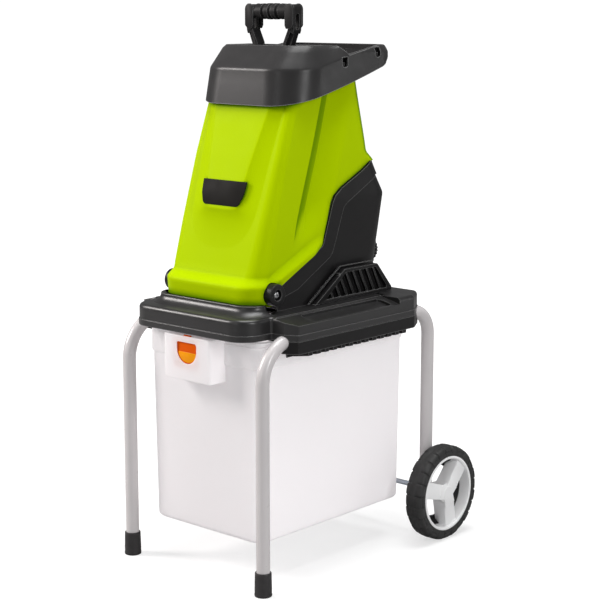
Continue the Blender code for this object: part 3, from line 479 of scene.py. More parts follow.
def side_prism(name, outline, x_low, x_high, look=BLACK):
    """A side view of (depth, height) points, made solid between two X values."""
    return prism(name, outline, x_low, x_high, look, lambda u, v, w: (w, back(u), v))


def front_prism(name, outline, depth_low, depth_high, look=BLACK):
    """A front view of (x, height) points, made solid between two depths."""
    return prism(name, outline, depth_low, depth_high, look, lambda u, v, w: (u, back(w), v))


def plan_prism(name, outline, z_low, z_high, look=BLACK):
    """A top view of (x, depth) points, made solid between two heights."""
    return prism(name, outline, z_low, z_high, look, lambda u, v, w: (u, back(v), w))


def block(name, low, high, look=BLACK, rounding=0.0):
    """A box between two (x, depth, height) corners."""
    obj = plan_prism(name, [(low[0], low[1]), (high[0], low[1]), (high[0], high[1]), (low[0], high[1])],
                     low[2], high[2], look)
    return soften(obj, rounding) if rounding else obj


def angles(count):
    """Angles that share out a whole turn."""
    return np.linspace(0, 2 * math.pi, count, endpoint=False)


def polar(radius, angle, height=0.0):
    """A point round the Z axis."""
    return Vector((radius * math.cos(angle), radius * math.sin(angle), height))


def round_bar(name, start, end, radius, look, sides=40):
    """A straight round bar between two points."""
    start, end = Vector(start), Vector(end)
    turn = (end - start).to_track_quat("Z", "Y").to_matrix()
    circle = [turn @ polar(radius, a) for a in angles(sides)]
    return solid(name, [[centre + point for point in circle] for centre in (start, end)], look)


def lathe(name, profile, place, look, sides=64, sharp=32, closed=False):
    """A profile of (radius, height), turned about Z. An open one runs from axis to axis."""
    rings = [[place @ polar(r, a, z) for a in angles(sides)]
             for r, z in (profile if closed else profile[1:-1])]
    if closed:
        obj = loop(name, rings, look)
    else:
        obj = solid(name, rings, look)
        poke_caps(obj, [place @ Vector((0, 0, z)) for z in (profile[0][1], profile[-1][1])])
    return facing_out(obj, sharp)


def across(centre, sign):
    """Turns a lathe's axis along X, outwards on one side, at the height and depth of a centre."""
    return Matrix.Translation((0, centre.y, centre.z)) @ Matrix.Rotation(sign * math.pi / 2, 4, "Y")


def placed(matrix):
    """A place for a prism's points."""
    return lambda u, v, w: matrix @ Vector((u, v, w))


def mirrored(sign, points):
    """A right-hand outline as it is, or a left-hand one."""
    return [(sign * x, *rest) for x, *rest in points]


def through(outline, look=BLACK):
    """A side view as a block that reaches across the whole body, to cut with."""
    return side_prism("through", outline, -0.16, 0.16, look)


def rounded_box(u_low, u_high, v_low, v_high, radius, steps):
    """A rectangle with four rounded corners."""
    corners = ((u_low, v_low), (u_high, v_low), (u_high, v_high), (u_low, v_high))
    return fillet([(u, v, radius) for u, v in corners], steps)


def lifted(height, profile):
    """A lathe's profile moved along its axis."""
    return [(r, height + h) for r, h in profile]


def poke_caps(obj, centres):
    """Turns the two end caps into fans about the given centres."""
    bm = bmesh.new()
    bm.from_mesh(obj.data)
    caps = sorted((f for f in bm.faces if len(f.verts) > 4), key=lambda f: f.index)
    for cap, centre in zip(caps, centres):
        made = bmesh.ops.poke(bm, faces=[cap])
        made["verts"][0].co = centre
    bm.to_mesh(obj.data)
    bm.free()


def sweep(name, route, radius, look, sides=32):
    """A round tube along a line of points, closed at both ends."""
    rings = []
    route = [Vector(p) for p in route]
    side = Vector((1, 0, 0))
    for i, here in enumerate(route):
        along = (route[min(i + 1, len(route) - 1)] - route[max(i - 1, 0)]).normalized()
        up = along.cross(side).normalized()
        outwards = up.cross(along).normalized()
        rings.append([here + (outwards * math.cos(a) + up * math.sin(a)) * radius for a in angles(sides)])
    return facing_out(solid(name, rings, look), 40)


def joined(name, parts):
    """Several meshes as one piece."""
    bm = bmesh.new()
    looks = []
    for part in parts:
        material = part.data.materials[0]
        if material not in looks:
            looks.append(material)
        for polygon in part.data.polygons:
            polygon.material_index = looks.index(material)
        bm.from_mesh(part.data)
        bpy.data.objects.remove(part)
    mesh = bpy.data.meshes.new(name)
    bm.to_mesh(mesh)
    bm.free()
    for material in looks:
        mesh.materials.append(material)
    shade(mesh)
    obj = bpy.data.objects.new(name, mesh)
    bpy.context.scene.collection.objects.link(obj)
    return obj


def ease(value):
    """A smooth step from 0 to 1."""
    value = np.clip(value, 0.0, 1.0)
    return value * value * (3.0 - 2.0 * value)


def blend(first, second, share):
    """A share of the way from one value to another."""
    return first * (1 - share) + second * share


def mirrored_ring(x, y, z):
    """A whole ring of points from the half that runs from the front's middle to the rear's middle."""
    rows = ((x, -1), (y, 1), (np.broadcast_to(z, x.shape), 1))
    whole = [np.concatenate([row, side * row[-2:0:-1]]) for row, side in rows]
    return [(a, back(b), c) for a, b, c in zip(*whole)]


def half_outline(half, front, rear, front_radius, rear_radius, counts):
    """Half a plan outline, front to rear: x, y and the outward normal's x, y, each as a row."""
    points = []
    front_y, rear_y = front + front_radius, rear - rear_radius

    def corner(middle_y, radius, start, count):
        """A quarter turn from a starting angle."""
        for a in np.linspace(start, start + math.pi / 2, count, endpoint=False):
            nx, ny = math.cos(a), math.sin(a)
            points.append((half - radius + radius * nx, middle_y + radius * ny, nx, ny))

    points += [(x, front, 0.0, -1.0) for x in np.linspace(0, half - front_radius, counts[0], endpoint=False)]
    corner(front_y, front_radius, -math.pi / 2, counts[1])
    points += [(half, y, 1.0, 0.0) for y in np.linspace(front_y, rear_y, counts[2], endpoint=False)]
    corner(rear_y, rear_radius, 0.0, counts[3])
    points += [(x, rear, 0.0, 1.0) for x in np.linspace(half - rear_radius, 0, counts[4])]
    return np.array(points).T


# ---------------------------------------------------------------- green tower

# The tower's plan at seven heights: its half width, its front and rear depths, and its front corners' radius.
TOWER_Z = [0.517, 0.545, 0.575, 0.65, 0.754, 0.7725, 0.94]
TOWER_HALF = [0.1135, 0.1145, 0.116, 0.1155, 0.1138, 0.1135, 0.1075]
TOWER_FRONT = [0.041, 0.04, 0.0512, 0.075, 0.109, 0.115, 0.1725]
TOWER_REAR = [0.385, 0.385, 0.385, 0.385, 0.385, 0.363, 0.332]
TOWER_RADIUS = [0.038, 0.037, 0.031, 0.026, 0.02, 0.019, 0.015]
TOWER_COUNTS = (56, 26, 110, 10, 10)    # points along the front, corner, side, corner and rear of a half ring
PANEL_RISE = 0.0135     # how far the front panel stands proud of its valleys
SKIRT_RISE = 0.0104     # how far the skirt stands proud of the tower's foot
STEP_DROP = 0.014       # how deep the side dips behind its step
# The line from the skirt to the rear where the tower meets the motor housing: depth, height, radius.
PARTING = [(0.08, 0.534, 0), (0.22, 0.607, 0.012), (0.245, 0.685, 0.008), (0.252, 0.697, 0),
           (0.27, 0.71, 0.01), (0.332, 0.739, 0.015), (0.357, 0.7535, 0)]


def eased_table(z, heights, values, blur=0.004):
    """A table read along z, with its kinks rounded off."""
    shifts = np.linspace(-blur, blur, 7)
    return float(np.mean([np.interp(z + s, heights, values) for s in shifts]))


def panel_rise(x, z):
    """How far the front stands proud at (x, z): a panel whose flanks slope to a U-shaped edge."""
    x = abs(x)
    panel_half = np.interp(z, [0.6, 0.69, 0.73, 0.863, 0.95], [0.042, 0.0425, 0.0465, 0.0675, 0.074])
    valley_half = np.interp(z, [0.6, 0.7, 0.863, 0.95], [0.078, 0.0825, 0.0915, 0.094])
    inner = ((x / panel_half) ** 5 + (max(0.0, 0.705 - z) / 0.026) ** 5) ** (1 / 5)
    outer = ((x / valley_half) ** 2.8 + (max(0.0, 0.705 - z) / 0.096) ** 2.8) ** (1 / 2.8)
    if outer >= 1.0:
        return 0.0
    if inner <= 1.0:
        return PANEL_RISE * (1.0 - 0.04 * inner ** 12)
    share = (inner - 1.0) / ((inner - 1.0) + (1.0 - outer) * 1.2)
    return PANEL_RISE * 0.96 * (1.0 - share)


def skirt_rise(depth, z):
    """The flared skirt round the foot, whose shoulder climbs back along the sides."""
    climb = 0.46 * max(0.0, depth - 0.078)
    fade = 1.0 - ease((depth - 0.185) / 0.045)
    return SKIRT_RISE * fade * (1.0 - ease((z - climb - 0.546) / 0.019))


def step_line(z):
    """Where the side's slanting step lies."""
    return float(np.interp(z, [0.6, 0.66, 0.883, 0.94], [0.14, 0.155, 0.227, 0.245]))


def side_push(depth, z):
    """Behind a sharp slanting line the side dips, then comes back out to meet the motor housing."""
    line = step_line(z)
    fade = float(ease((z - 0.606 - 0.42 * max(0.0, depth - 0.155)) / 0.06))
    run = depth - line
    dip = 0.0
    if run > 0.0:
        slope = min(max(run - 0.003, 0.0) / 0.027, 1.0)
        dip = STEP_DROP * (0.18 * min(run / 0.003, 1.0) + 0.82 * slope * (1.25 - 0.25 * slope))
        dip *= 1.0 - float(ease((run - 0.03) / 0.06))
    widen = 0.0052 * float(ease((depth - 0.15) / 0.11)) * (1.0 - 0.4 * float(ease((z - 0.78) / 0.12)))
    return widen - dip * fade


def tower_outline(z):
    """The plain plan at height z, with a column of points along the side's step."""
    x, y, nx, ny = half_outline(*(eased_table(z, TOWER_Z, row) for row in
                                  (TOWER_HALF, TOWER_FRONT, TOWER_REAR, TOWER_RADIUS)), 0.026, TOWER_COUNTS)
    start = TOWER_COUNTS[0] + TOWER_COUNTS[1]
    stop = start + TOWER_COUNTS[2]
    line = step_line(z)
    y[start:stop] = np.interp(np.arange(TOWER_COUNTS[2]), [0, 44, 48, 70, TOWER_COUNTS[2]],
                              [y[start], line, line + 0.003, line + 0.033, y[stop]])
    return x, y, nx, ny


def tower_ring(z):
    """The tower's outer skin at height z."""
    x, y, nx, ny = tower_outline(z)
    push = [panel_rise(a, z) * ease(-c / 0.55) + skirt_rise(b, z) + side_push(b, z) * max(n, 0.0)
            for a, b, n, c in zip(x, y, nx, ny)]
    return mirrored_ring(x + nx * push, y + ny * push, z)


def tower_inside(z):
    """The tower's inner wall at height z, thick enough to clear the side's step."""
    x, y, nx, ny = tower_outline(z)
    inner = 0.003 + STEP_DROP * np.clip(nx, 0, 1) * ease((z - 0.62) / 0.05) * ease((y - 0.12) / 0.05)
    return mirrored_ring(x - nx * inner, y - ny * inner, z)


def green_tower():
    """The hopper's green shell, cut to the hood above and to the motor housing behind."""
    foot, top, soft, clear = 0.517, 0.925, 62, 0.0008
    heights = np.concatenate([np.arange(foot, 0.6, 0.0015), np.arange(0.6, top, 0.0022), [top]])
    tower = shell("green_tower", [tower_ring(z) for z in heights],
                  [tower_inside(z) for z in np.linspace(foot, top, 24)], GREEN)
    below = fillet([(d - clear, z + clear, r) for d, z, r in PARTING]
                   + [(0.45, 0.7543, 0), (0.45, 0.47, 0), (HINGE_DEPTH, 0.47, 0)])
    over = [(0.0, 0.88), (0.15, 0.893), (0.42, 0.935), (0.42, 1.0), (0.0, 1.0)]
    carve(tower, through(below, GREEN), through(over, GREEN), sharp=soft)
    for side, sign in SIDES:
        ends = [(sign * x, HINGE.y, HINGE.z) for x in (0.108, 0.15)]
        carve(tower, round_bar("boss_space", *ends, 0.0212, GREEN), sharp=soft)
        settle(hinge_ear(side, sign), "hopper", slot="green_plastic")
    settle(tower, "hopper", "hopper_shell", slot="green_plastic")


def hinge_ear(side, sign):
    """The round ear on the hopper's side, against the boss."""
    profile = [(0.0034, 0.105), (0.024, 0.105), (0.024, 0.1148)]
    profile += [(0.0224 + r, 0.1148 + h) for r, h in arc((0, 0), 0.0016, 0, 90, 4)][1:] + [(0.0034, 0.1164)]
    return lathe(f"hinge_ear_{side}", profile, across(HINGE, sign), GREEN, 64, closed=True)


def label():
    """A blank gloss plate with a flat top and rounded lower corners."""
    low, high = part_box("label_plate")
    half, drop = (high.x - low.x) / 2, 0.047
    corners = [(half, 0.0, 0.0008), (half * 0.965, -drop * 0.52, 0.05), (half * 0.8, -drop, 0.011)]
    slope = math.atan2(0.034, 0.104)
    tilt = Matrix.Translation((0, back(0.0886), 0.73)) @ Matrix.Rotation(math.pi / 2 - slope, 4, "X")
    outline = fillet(corners + mirrored(-1, reversed(corners)), 10)
    plate = prism("blank_label", outline, 0.0, 0.0016, LABEL, placed(tilt))
    settle(soften(plate, 0.0005, 2), "hopper", "label_plate", slot="label_black")


# ---------------------------------------------------------------- hood

def hood_bottom(depth):
    """The height of the hood's lower edge, which climbs to the rear."""
    run = max(depth - 0.125, 0.0)
    return 0.865 + 0.2 * run + 0.22 * run * run


HOOD_FOOT = (0.1318, 0.1245, 0.4225, 0.073)     # half width, front, rear and front corners' radius
HOOD_BAND = (0.1285, 0.135, 0.422, 0.076)
HOOD_TOP = 0.9722
HOOD_COUNTS = (26, 26, 60, 14, 12)      # points along the front, corner, side, corner and rear of a half ring


def hood_crease(depth):
    """The crease between band and shoulder, which climbs to the tray's rim."""
    return float(np.interp(depth, [0.1, 0.175, 0.2, 0.285, 0.33, 0.43],
                           [0.93, 0.93, 0.9325, 0.9545, 0.959, 0.959]))


def hood_rings(inset=0.0, lift=0.0):
    """Band, shoulder and crown. The shoulder is broad in front and a small rounding round the tray."""
    foot, band = (half_outline(half - inset, front + inset, rear - inset, radius - inset, 0.038 - inset,
                               HOOD_COUNTS) for half, front, rear, radius in (HOOD_FOOT, HOOD_BAND))
    crease = np.array([hood_crease(d) for d in band[1]])
    top = HOOD_TOP - lift
    near_tray = ease((band[1] - 0.245) / 0.05)
    crown = band[:2] - band[2:] * [blend(0.021, 0.0085, near_tray), np.where(band[3] < 0, 0.036, 0.0085)]
    crown[0][[0, -1]] = 0.0
    rings = []
    for share in (0.0, 0.25, 0.5, 0.75):
        rings.append(mirrored_ring(*blend(foot[:2], band[:2], share),
                                   0.855 - 0.01 * (lift > 0) + (crease - 0.858) * share))
    for share in np.linspace(0, 1, 6):
        height = (crease - 0.0035) * (1 - share) ** 2 + 2 * crease * share * (1 - share)
        height += (crease + (top - crease) * 0.09) * share ** 2
        rings.append(mirrored_ring(*blend(band[:2], crown, 0.09 * share ** 2), height))
    for share in (0.3, 0.5, 0.7, 0.86):
        bulge = 0.1 * math.sin(math.pi * share) * near_tray
        rings.append(mirrored_ring(*blend(band[:2], crown, share), crease + (top - crease) * (share + bulge)))
    for share in np.linspace(0.25, 1, 4):
        turn = math.sin(share * math.pi / 2)
        rounded = crown - band[2:] * 0.003 * turn
        rings.append(mirrored_ring(*rounded, top - (top - crease) * 0.07 * (1 - turn)))
    return rings


def rear_tip():
    """The lower edge of the hood seen from the side, closed round below it."""
    line = [(d, hood_bottom(d)) for d in np.linspace(0.1, 0.382, 30)]
    return [(0.06, 0.8), (0.06, hood_bottom(0.1))] + line + [
        (0.3905, 0.9352), (0.3965, 0.942), (0.404, 0.9475),
        (0.46, 0.95), (0.46, 0.8)]


def hood():
    """The black hood: a hollow band and crown in front, an open feed tray behind."""
    hood_piece = solid("black_hood", hood_rings(), HOOD_BLACK)
    notch = fillet([(0.268, 1.0, 0), (0.268, 0.9722, 0.0), (0.286, 0.954, 0.004), (0.378, 0.9716, 0.03),
                    (0.46, 0.9716, 0), (0.46, 1.0, 0)], 6)
    carve(hood_piece, through(rear_tip()), through(notch))
    hollow = solid("hood_hollow", hood_rings(0.0032, 0.003))
    limit = [(0.05, 0.8), (0.05, 1.0), (0.287, 1.0), (0.287, 0.93), (0.27, 0.93), (0.27, 0.923),
             (0.341, 0.923), (0.341, 0.8)]
    carve(hollow, through(limit), how="INTERSECT")
    funnel = [(0.88, 0.0765, 0.321, 0.004), (0.928, 0.0765, 0.321, 0.004), (0.936, 0.1, 0.352, 0.016),
              (0.954, 0.115, 0.4, 0.022), (0.961, 0.1176, 0.409, 0.026), (1.0, 0.1176, 0.409, 0.026)]
    tray = solid("tray_hollow", [plan([(half, 0.17, 0.03), (half, rear, corner)], z, 0.0, 14)
                                 for z, half, rear, corner in funnel])
    carve(tray, through([(0.286, 0.87), (0.286, 1.02), (0.46, 1.02), (0.46, 0.87)]), how="INTERSECT")
    slot = rounded_box(-0.0555, 0.0555, 0.2022, 0.2358, 0.003, 4)
    carve(hood_piece, hollow, tray, plan_prism("slot", slot, 0.96, 0.99))
    for _, sign in SIDES:
        for depth, height in CLIP_WINDOWS:
            window = fillet([(depth + d, height + h, r) for d, h, r in (
                (-0.0076, -0.0108, 0.006), (0.0076, -0.0098, 0.006), (0.0076, 0.0088, 0.001),
                (-0.0076, 0.0078, 0.001))], 4)
            carve(hood_piece, side_prism("clip", window, sign * 0.129 - 0.009, sign * 0.129 + 0.009))
    settle(hood_piece, "hopper", "hopper_hood", slot="black_plastic")
    settle(hood_clips(), "hopper", slot="black_plastic")


def hood_clips():
    """The hooks that show in the hood's four windows, and the webs behind the front two."""
    parts = []
    for _, sign in SIDES:
        web = sorted((sign * 0.115, sign * 0.1166))
        parts.append(block("web", (web[0], 0.2585, 0.9262), (web[1], 0.2856, 0.9536), BLACK, 0.0003))
        for depth, height in CLIP_WINDOWS:
            parts.append(block("clip", (sign * 0.1225 - 0.0045, depth - 0.003, height - 0.0112),
                               (sign * 0.1225 + 0.003, depth + 0.003, height - 0.001), BLACK, 0.0006))
    return joined("hood_clips", parts)


# ---------------------------------------------------------------- pusher

def pusher():
    """A D-shaped handle: a ringed grip between two slotted arms, over the shaft."""
    middle = middle_of("pusher")
    centre = middle.y - FRONT_LEG_Y
    grip_half, grip_z = 0.044, 1.0335
    profile = [(0.0, -0.0445), (0.0105, -0.0445)]
    for x in np.linspace(-grip_half, grip_half, 89):
        radius = 0.0132 + 0.0018 * (1 - (x / grip_half) ** 2)
        for groove in (-0.0175, 0.0, 0.0175):
            radius -= 0.003 * float(ease((0.004 - abs(x - groove)) / 0.0014))
        profile.append((radius, x))
    profile += [(0.0105, 0.0445), (0.0, 0.0445)]
    parts = [lathe("grip", profile, across(Vector((0, middle.y, grip_z)), 1), BLACK_MATT, 40, 40)]
    bar = fillet([(0.0445, 1.042, 0), (0.0445, 1.001, 0.01), (0.033, 0.977, 0), (0.032, 0.966, 0),
                  (0.0455, 0.966, 0), (0.048, 0.972, 0), (0.059, 0.999, 0.01), (0.0598, 1.042, 0.008),
                  (0.056, 1.0475, 0.003)], 5)
    slot = rounded_box(centre - 0.0048, centre + 0.0048, 1.001, 1.03, 0.0045, 6)
    pocket = [(0.04, 0.964), (0.05, 0.974), (0.0575, 0.9925), (0.0505, 0.9965), (0.0435, 0.984),
              (0.036, 0.968)]
    ear = fillet([(0.04, 1.045, 0.006), (0.04, 1.008, 0.004), (0.043, 1.002, 0.002), (0.054, 1.002, 0.002),
                  (0.06, 1.008, 0.003), (0.06, 1.042, 0.01), (0.052, 1.049, 0.008)], 5)

    def layer(name, sign, outline, near, far):
        """A front view on one side, between two depths from the handle's middle."""
        return front_prism(name, mirrored(sign, outline), centre + near, centre + far, BLACK_MATT)

    for _, sign in SIDES:
        arm = layer("arm", sign, bar, -0.0105, 0.0105)
        carve(arm, side_prism("slot", slot, sign * 0.052 - 0.02, sign * 0.052 + 0.02, BLACK_MATT))
        carve(arm, layer("pocket", sign, pocket, -0.02, -0.0062), layer("pocket", sign, pocket, 0.0062, 0.02))
        parts.append(soften(arm, 0.0009, 2))
        for near, far in ((-0.015, -0.0105), (0.0105, 0.015)):
            parts.append(soften(layer("flange", sign, ear, near, far), 0.0008, 2))
    parts += pusher_shaft(centre)
    settle(joined("ram_pusher", parts), "pusher", "pusher", slot="black_plastic")


def pusher_shaft(centre):
    """The ribbed plate that hangs in the chute."""
    half, reach, thin, low, high = 0.048, 0.0125, 0.0012, 0.8, 0.969
    boxes = [("rib", x - thin, x + thin, low, high) for x in (-0.047, -0.021, 0.0, 0.021, 0.047)]
    boxes += [("shelf", -half, half, z - thin, z + thin) for z in (0.801, 0.842, 0.884, 0.926, 0.9665)]
    parts = [block("web", (-half, centre - 0.002, low), (half, centre + 0.002, high), BLACK_MATT, 0.0006)]
    for name, left, right, bottom, top in boxes:
        corners = (left, centre - reach, bottom), (right, centre + reach, top)
        parts.append(block(name, *corners, BLACK_MATT, 0.0004))
    return parts


# ---------------------------------------------------------------- base

# Right halves of the base's plan, and of its opening above and below the hopper's seat: x, depth, radius.
BASE = [(0.15, -0.02, 0.045), (0.15, 0.048, 0.003), (0.178, 0.0505, 0.006),
        (0.2017, 0.064, 0.006), (0.2017, 0.395, 0.01), (0.172, 0.445, 0.015)]
THROAT = [(0.124, 0.0258, 0.048), (0.124, 0.0915, 0.001), (0.112, 0.0915, 0.001), (0.112, 0.245, 0.008)]
THROAT_LOW = [(0.11, 0.044, 0.04), (0.11, 0.245, 0.008)]


REAR_LEG_END = 0.075        # the height of the rear tubes' ends


def leg_route(foot_z, depth, bend, sign, reach):
    """A leg's (depth, height) line: up from its end, round a bend, then level under the base."""
    points = [(depth, foot_z), (depth, (foot_z + SEAM - bend) / 2)]
    for a in np.linspace(0, math.pi / 2, 17):
        points.append((depth + sign * bend * (1 - math.cos(a)), SEAM - bend + bend * math.sin(a)))
    return points + [(reach, SEAM)]


LEG_ROUTES = {"front": leg_route(0.0066, 0.0, 0.075, 1, 0.105),
              "rear": leg_route(REAR_LEG_END, WHEELBASE, 0.05, -1, 0.37)}


def leg_line(sign, route):
    """The points of a leg's line on one side."""
    return [(sign * LEG_X, back(d), z) for d, z in route]


def base_cover():
    """The base's upper shell, with its wings' troughs, the throat and the legs' sockets."""
    levels = [(SEAM + 0.0004, 0.0008), (SEAM + 0.001, 0.0), (0.4715, 0.0), (0.4722, 0.0014), (0.485, 0.0016)]
    radius = 0.0075
    levels += [(PLATEAU - radius + v, 0.0016 + radius - u) for u, v in arc((0, 0), radius, 0, 90, 8)]
    cover = solid("black_base_cover", [plan(BASE, z, inset, 10) for z, inset in levels], BASE_BLACK)
    carve(cover, solid("hollow", [plan(BASE, z, 0.0042, 10) for z in (SEAM - 0.01, 0.466)], BASE_BLACK))
    wing = [(0.156, 0.4975), (0.156, 0.53), (0.215, 0.53), (0.215, 0.4842), (0.2025, 0.4867),
            (0.1985, 0.4885)]
    slope = math.atan2(0.4975 - 0.4885, 0.0425)
    trough = rounded_box(-0.0185, 0.0175, -0.112, 0.112, 0.009, 8)
    notch = [(0.134, 0.356), (0.156, 0.35), (0.156, 0.361), (0.134, 0.367)]
    screw_slot = rounded_box(0.133, 0.14, 0.425, 0.431, 0.0015, 3)
    for _, sign in SIDES:
        carve(cover, front_prism("wing_step", mirrored(sign, wing), 0.04, 0.352, BASE_BLACK))
        centre = Matrix.Translation((sign * 0.1785, back(0.223), 0.4924))
        tilt = centre @ Matrix.Rotation(sign * slope, 4, "Y")
        carve(cover, prism("trough", mirrored(sign, trough), -0.0046, 0.02, BASE_BLACK, placed(tilt)))
        carve(cover, plan_prism("seam_notch", mirrored(sign, notch), 0.4975, 0.51, BASE_BLACK))
    carve(cover, solid("throat", [plan(THROAT, z, 0.0, 8) for z in (0.474, 0.53)], BASE_BLACK),
          solid("throat_low", [plan(THROAT_LOW, z, 0.0, 8) for z in (0.44, 0.48)], BASE_BLACK))
    for _, sign in SIDES:
        for route in LEG_ROUTES.values():
            carve(cover, sweep("socket", leg_line(sign, route), TUBE_R + 0.0006, BASE_BLACK))
        carve(cover, plan_prism("screw_slot", mirrored(sign, screw_slot), 0.494, 0.51, BASE_BLACK))
    settle(cover, "root", "base_cover", slot="black_plastic")


def base_collar():
    """The raised collar round the foot of the tower, curving in towards its top."""
    outline = [(0.1425, 0.006, 0.052), (0.1425, 0.068, 0.0)]
    rise, reach = 0.0172, 0.016
    levels = [(PLATEAU - 0.001 + rise * t, reach * (1 - (1 - t) ** 2.4) - 0.0008)
              for t in np.linspace(0, 1, 9)]
    levels.append((PLATEAU + rise, reach))
    collar = solid("collar", [plan(outline, z, inset, 12) for z, inset in levels], BASE_BLACK)
    carve(collar, solid("inside", [plan(THROAT, z, -0.0004, 8) for z in (0.44, 0.53)], BASE_BLACK))
    settle(collar, "root", slot="black_plastic")


def tray_ribs():
    """Gussets under each wing, which scallop its lower edge."""
    gusset = [(0.1625, 0.4385), (0.199, 0.4385), (0.199, 0.43), (0.1625, 0.424)]
    parts = [front_prism("gusset", mirrored(sign, gusset), depth - 0.0055, depth + 0.0055)
             for _, sign in SIDES for depth in np.arange(0.098, 0.385, 0.0225)]
    settle(joined("tray_gussets", parts), "root", slot="black_plastic")


# ---------------------------------------------------------------- motor housing

def housing_ring(z, inset=0.0):
    """The housing's plan at height z."""
    rear = eased_table(z, [0.49, 0.555, 0.612, 0.69, 0.7275, 0.7545],
                       [0.4185, 0.4185, 0.4227, 0.4285, 0.404, 0.388])
    rear_half = eased_table(z, [0.49, 0.555, 0.612, 0.69], [0.115, 0.115, 0.12, 0.1245])
    corner = eased_table(z, [0.49, 0.6, 0.69], [0.064, 0.06, 0.05])
    return plan([(0.125, 0.05, 0.0), (rear_half, rear, corner)], z, inset, 14)


def motor_housing():
    """The housing's skin and its raised band, hollowed out and open below the louvres."""
    heights = list(np.linspace(PLATEAU + 0.0003, 0.752, 60)) + [0.7538, 0.7545]
    skin = solid("black_motor_housing", [housing_ring(z, 0.0048 if z > 0.754 else 0.0036) for z in heights])
    band = solid("flange_band", [housing_ring(z, 0.0012 if z > 0.754 else 0.0002) for z in heights])
    line = [(HINGE_DEPTH - 0.004, 0.517, 0), (0.15, 0.534, 0), (0.24, 0.582, 0.008), (0.249, 0.592, 0),
            (0.277, 0.674, 0.008), (0.286, 0.681, 0), (0.364, 0.721, 0), (0.373, 0.7275, 0),
            (0.46, 0.7275, 0), (0.46, 0.8, 0), (0.05, 0.8, 0), (0.05, 0.517, 0)]
    carve(band, through(fillet(line, 6)), how="INTERSECT")
    carve(skin, band, how="UNION")
    side = fillet(PARTING + [(0.45, 0.7535, 0), (0.45, 0.49, 0), (0.098, 0.49, 0), (0.093, 0.5185, 0)], 6)
    carve(skin, through(side), how="INTERSECT")
    inner = solid("inner", [housing_ring(z, 0.0052) for z in np.linspace(0.49, 0.75, 30)])
    room = [(0.03, 0.48), (0.03, 0.693), (0.2535, 0.693), (0.2717, 0.7063), (0.3337, 0.7352),
            (0.3587, 0.7498), (0.46, 0.7498), (0.46, 0.48)]
    carve(inner, through(room), how="INTERSECT")
    window = [(0.225, 0.508), (0.276, 0.549), (0.352, 0.549), (0.372, 0.508)]
    carve(skin, inner, through(window), block("tongue_slot", (-0.022, 0.305, 0.7), (0.022, 0.358, 0.77)))
    settle(skin, "root", "motor_housing", slot="black_plastic")
    for side_name, sign in SIDES:
        pivot_boss(side_name, sign)
        louvre(side_name, sign)


def pivot_boss(side, sign):
    """The dished boss round the hinge, with its cross-headed screw."""
    profile = [(0.0034, 0.1172), (0.02, 0.1172), (0.02, 0.1352)]
    profile += [(0.0182 + r, 0.1352 + h) for r, h in arc((0, 0), 0.0018, 0, 90, 4)][1:]
    profile += [(0.0108, 0.137), (0.0098, 0.1362), (0.0095, 0.1302), (0.0034, 0.1302)]
    boss = lathe(f"pivot_boss_{side}", profile, across(HINGE, sign), BLACK, closed=True)
    settle(boss, "root", slot="black_plastic")
    head = [(0.0, 0.101), (0.0029, 0.101), (0.0029, 0.1304), (0.0062, 0.1304), (0.0062, 0.1325)]
    head += [(0.0042 + r, 0.1325 + h * 0.9) for r, h in arc((0, 0), 0.002, 0, 80, 5)] + [(0.0, 0.1346)]
    screw = lathe(f"screw_{side}", head, across(HINGE, sign), STEEL, 40)
    for width, height in ((0.0036, 0.0008), (0.0008, 0.0036)):
        carve(screw, block("cross", (sign * 0.1318, HINGE_DEPTH - width, HINGE.z - height),
                           (sign * 0.1358, HINGE_DEPTH + width, HINGE.z + height), STEEL))
    settle(screw, "root", f"pivot_screw_{side}", slot="plain_steel")


def louvre(side, sign):
    """A vent insert: a frame proud of the side, with leaning fins over a dark recess."""
    def slab(name, outline, near, far):
        """A side view between two distances from the middle, on this side."""
        return side_prism(name, outline, *sorted((sign * near, sign * far)))

    outline = [(0.185, 0.5008, 0), (0.268, 0.5585, 0.008), (0.364, 0.5585, 0.006), (0.408, 0.5085, 0.004),
               (0.408, 0.5008, 0)]
    vent = slab(f"louvre_frame_{side}", fillet(outline, 6), 0.1228, 0.1345)
    window = [(0.214, 0.508, 0.001), (0.2715, 0.552, 0.005), (0.36, 0.552, 0.004), (0.396, 0.508, 0.003)]
    carve(vent, slab("window", fillet(window, 5), 0.1262, 0.14))
    parts = [soften(vent, 0.0007, 2)]
    thick = 0.005
    for number in range(8):
        foot = 0.234 + 0.02 * number
        top = min(0.5535, 0.5075 + 0.78 * (foot - 0.216))
        lean = 0.52 * (top - 0.5075)
        fin = [(foot, 0.507), (foot + thick, 0.507), (foot + thick - lean, top), (foot - lean, top)]
        parts.append(soften(slab("fin", fin, 0.125, 0.133), 0.0006, 2))
    ridge = [(0.174, 0.503), (0.18, 0.503), (0.266, 0.5625), (0.366, 0.5625), (0.366, 0.564), (0.2645, 0.564)]
    parts.append(slab("ridge", ridge, 0.1225, 0.1256))
    settle(joined(f"vent_{side}", parts), "root", f"louvre_{side}", slot="black_plastic")


# ---------------------------------------------------------------- stand

def legs():
    """Four bent tubes, with caps on the front feet and plugs in the rear ends."""
    plug = [(0.0, -0.002), (0.0127, -0.002), (0.0127, 0.0), (0.011, 0.0015), (0.0, 0.0022)]
    for side, sign in SIDES:
        for name, route in LEG_ROUTES.items():
            tube = sweep(f"{name}_tube_{side}", leg_line(sign, route), TUBE_R, PAINT, 40)
            settle(tube, "root", f"{name}_leg_{side}", slot="grey_paint")
        place = Matrix.Translation((sign * LEG_X, AXLE.y, REAR_LEG_END)) @ Matrix.Rotation(math.pi, 4, "X")
        settle(lathe(f"tube_plug_{side}", plug, place, FOOT_RUBBER, 40), "root", slot="black_plastic")
        foot(side, sign)


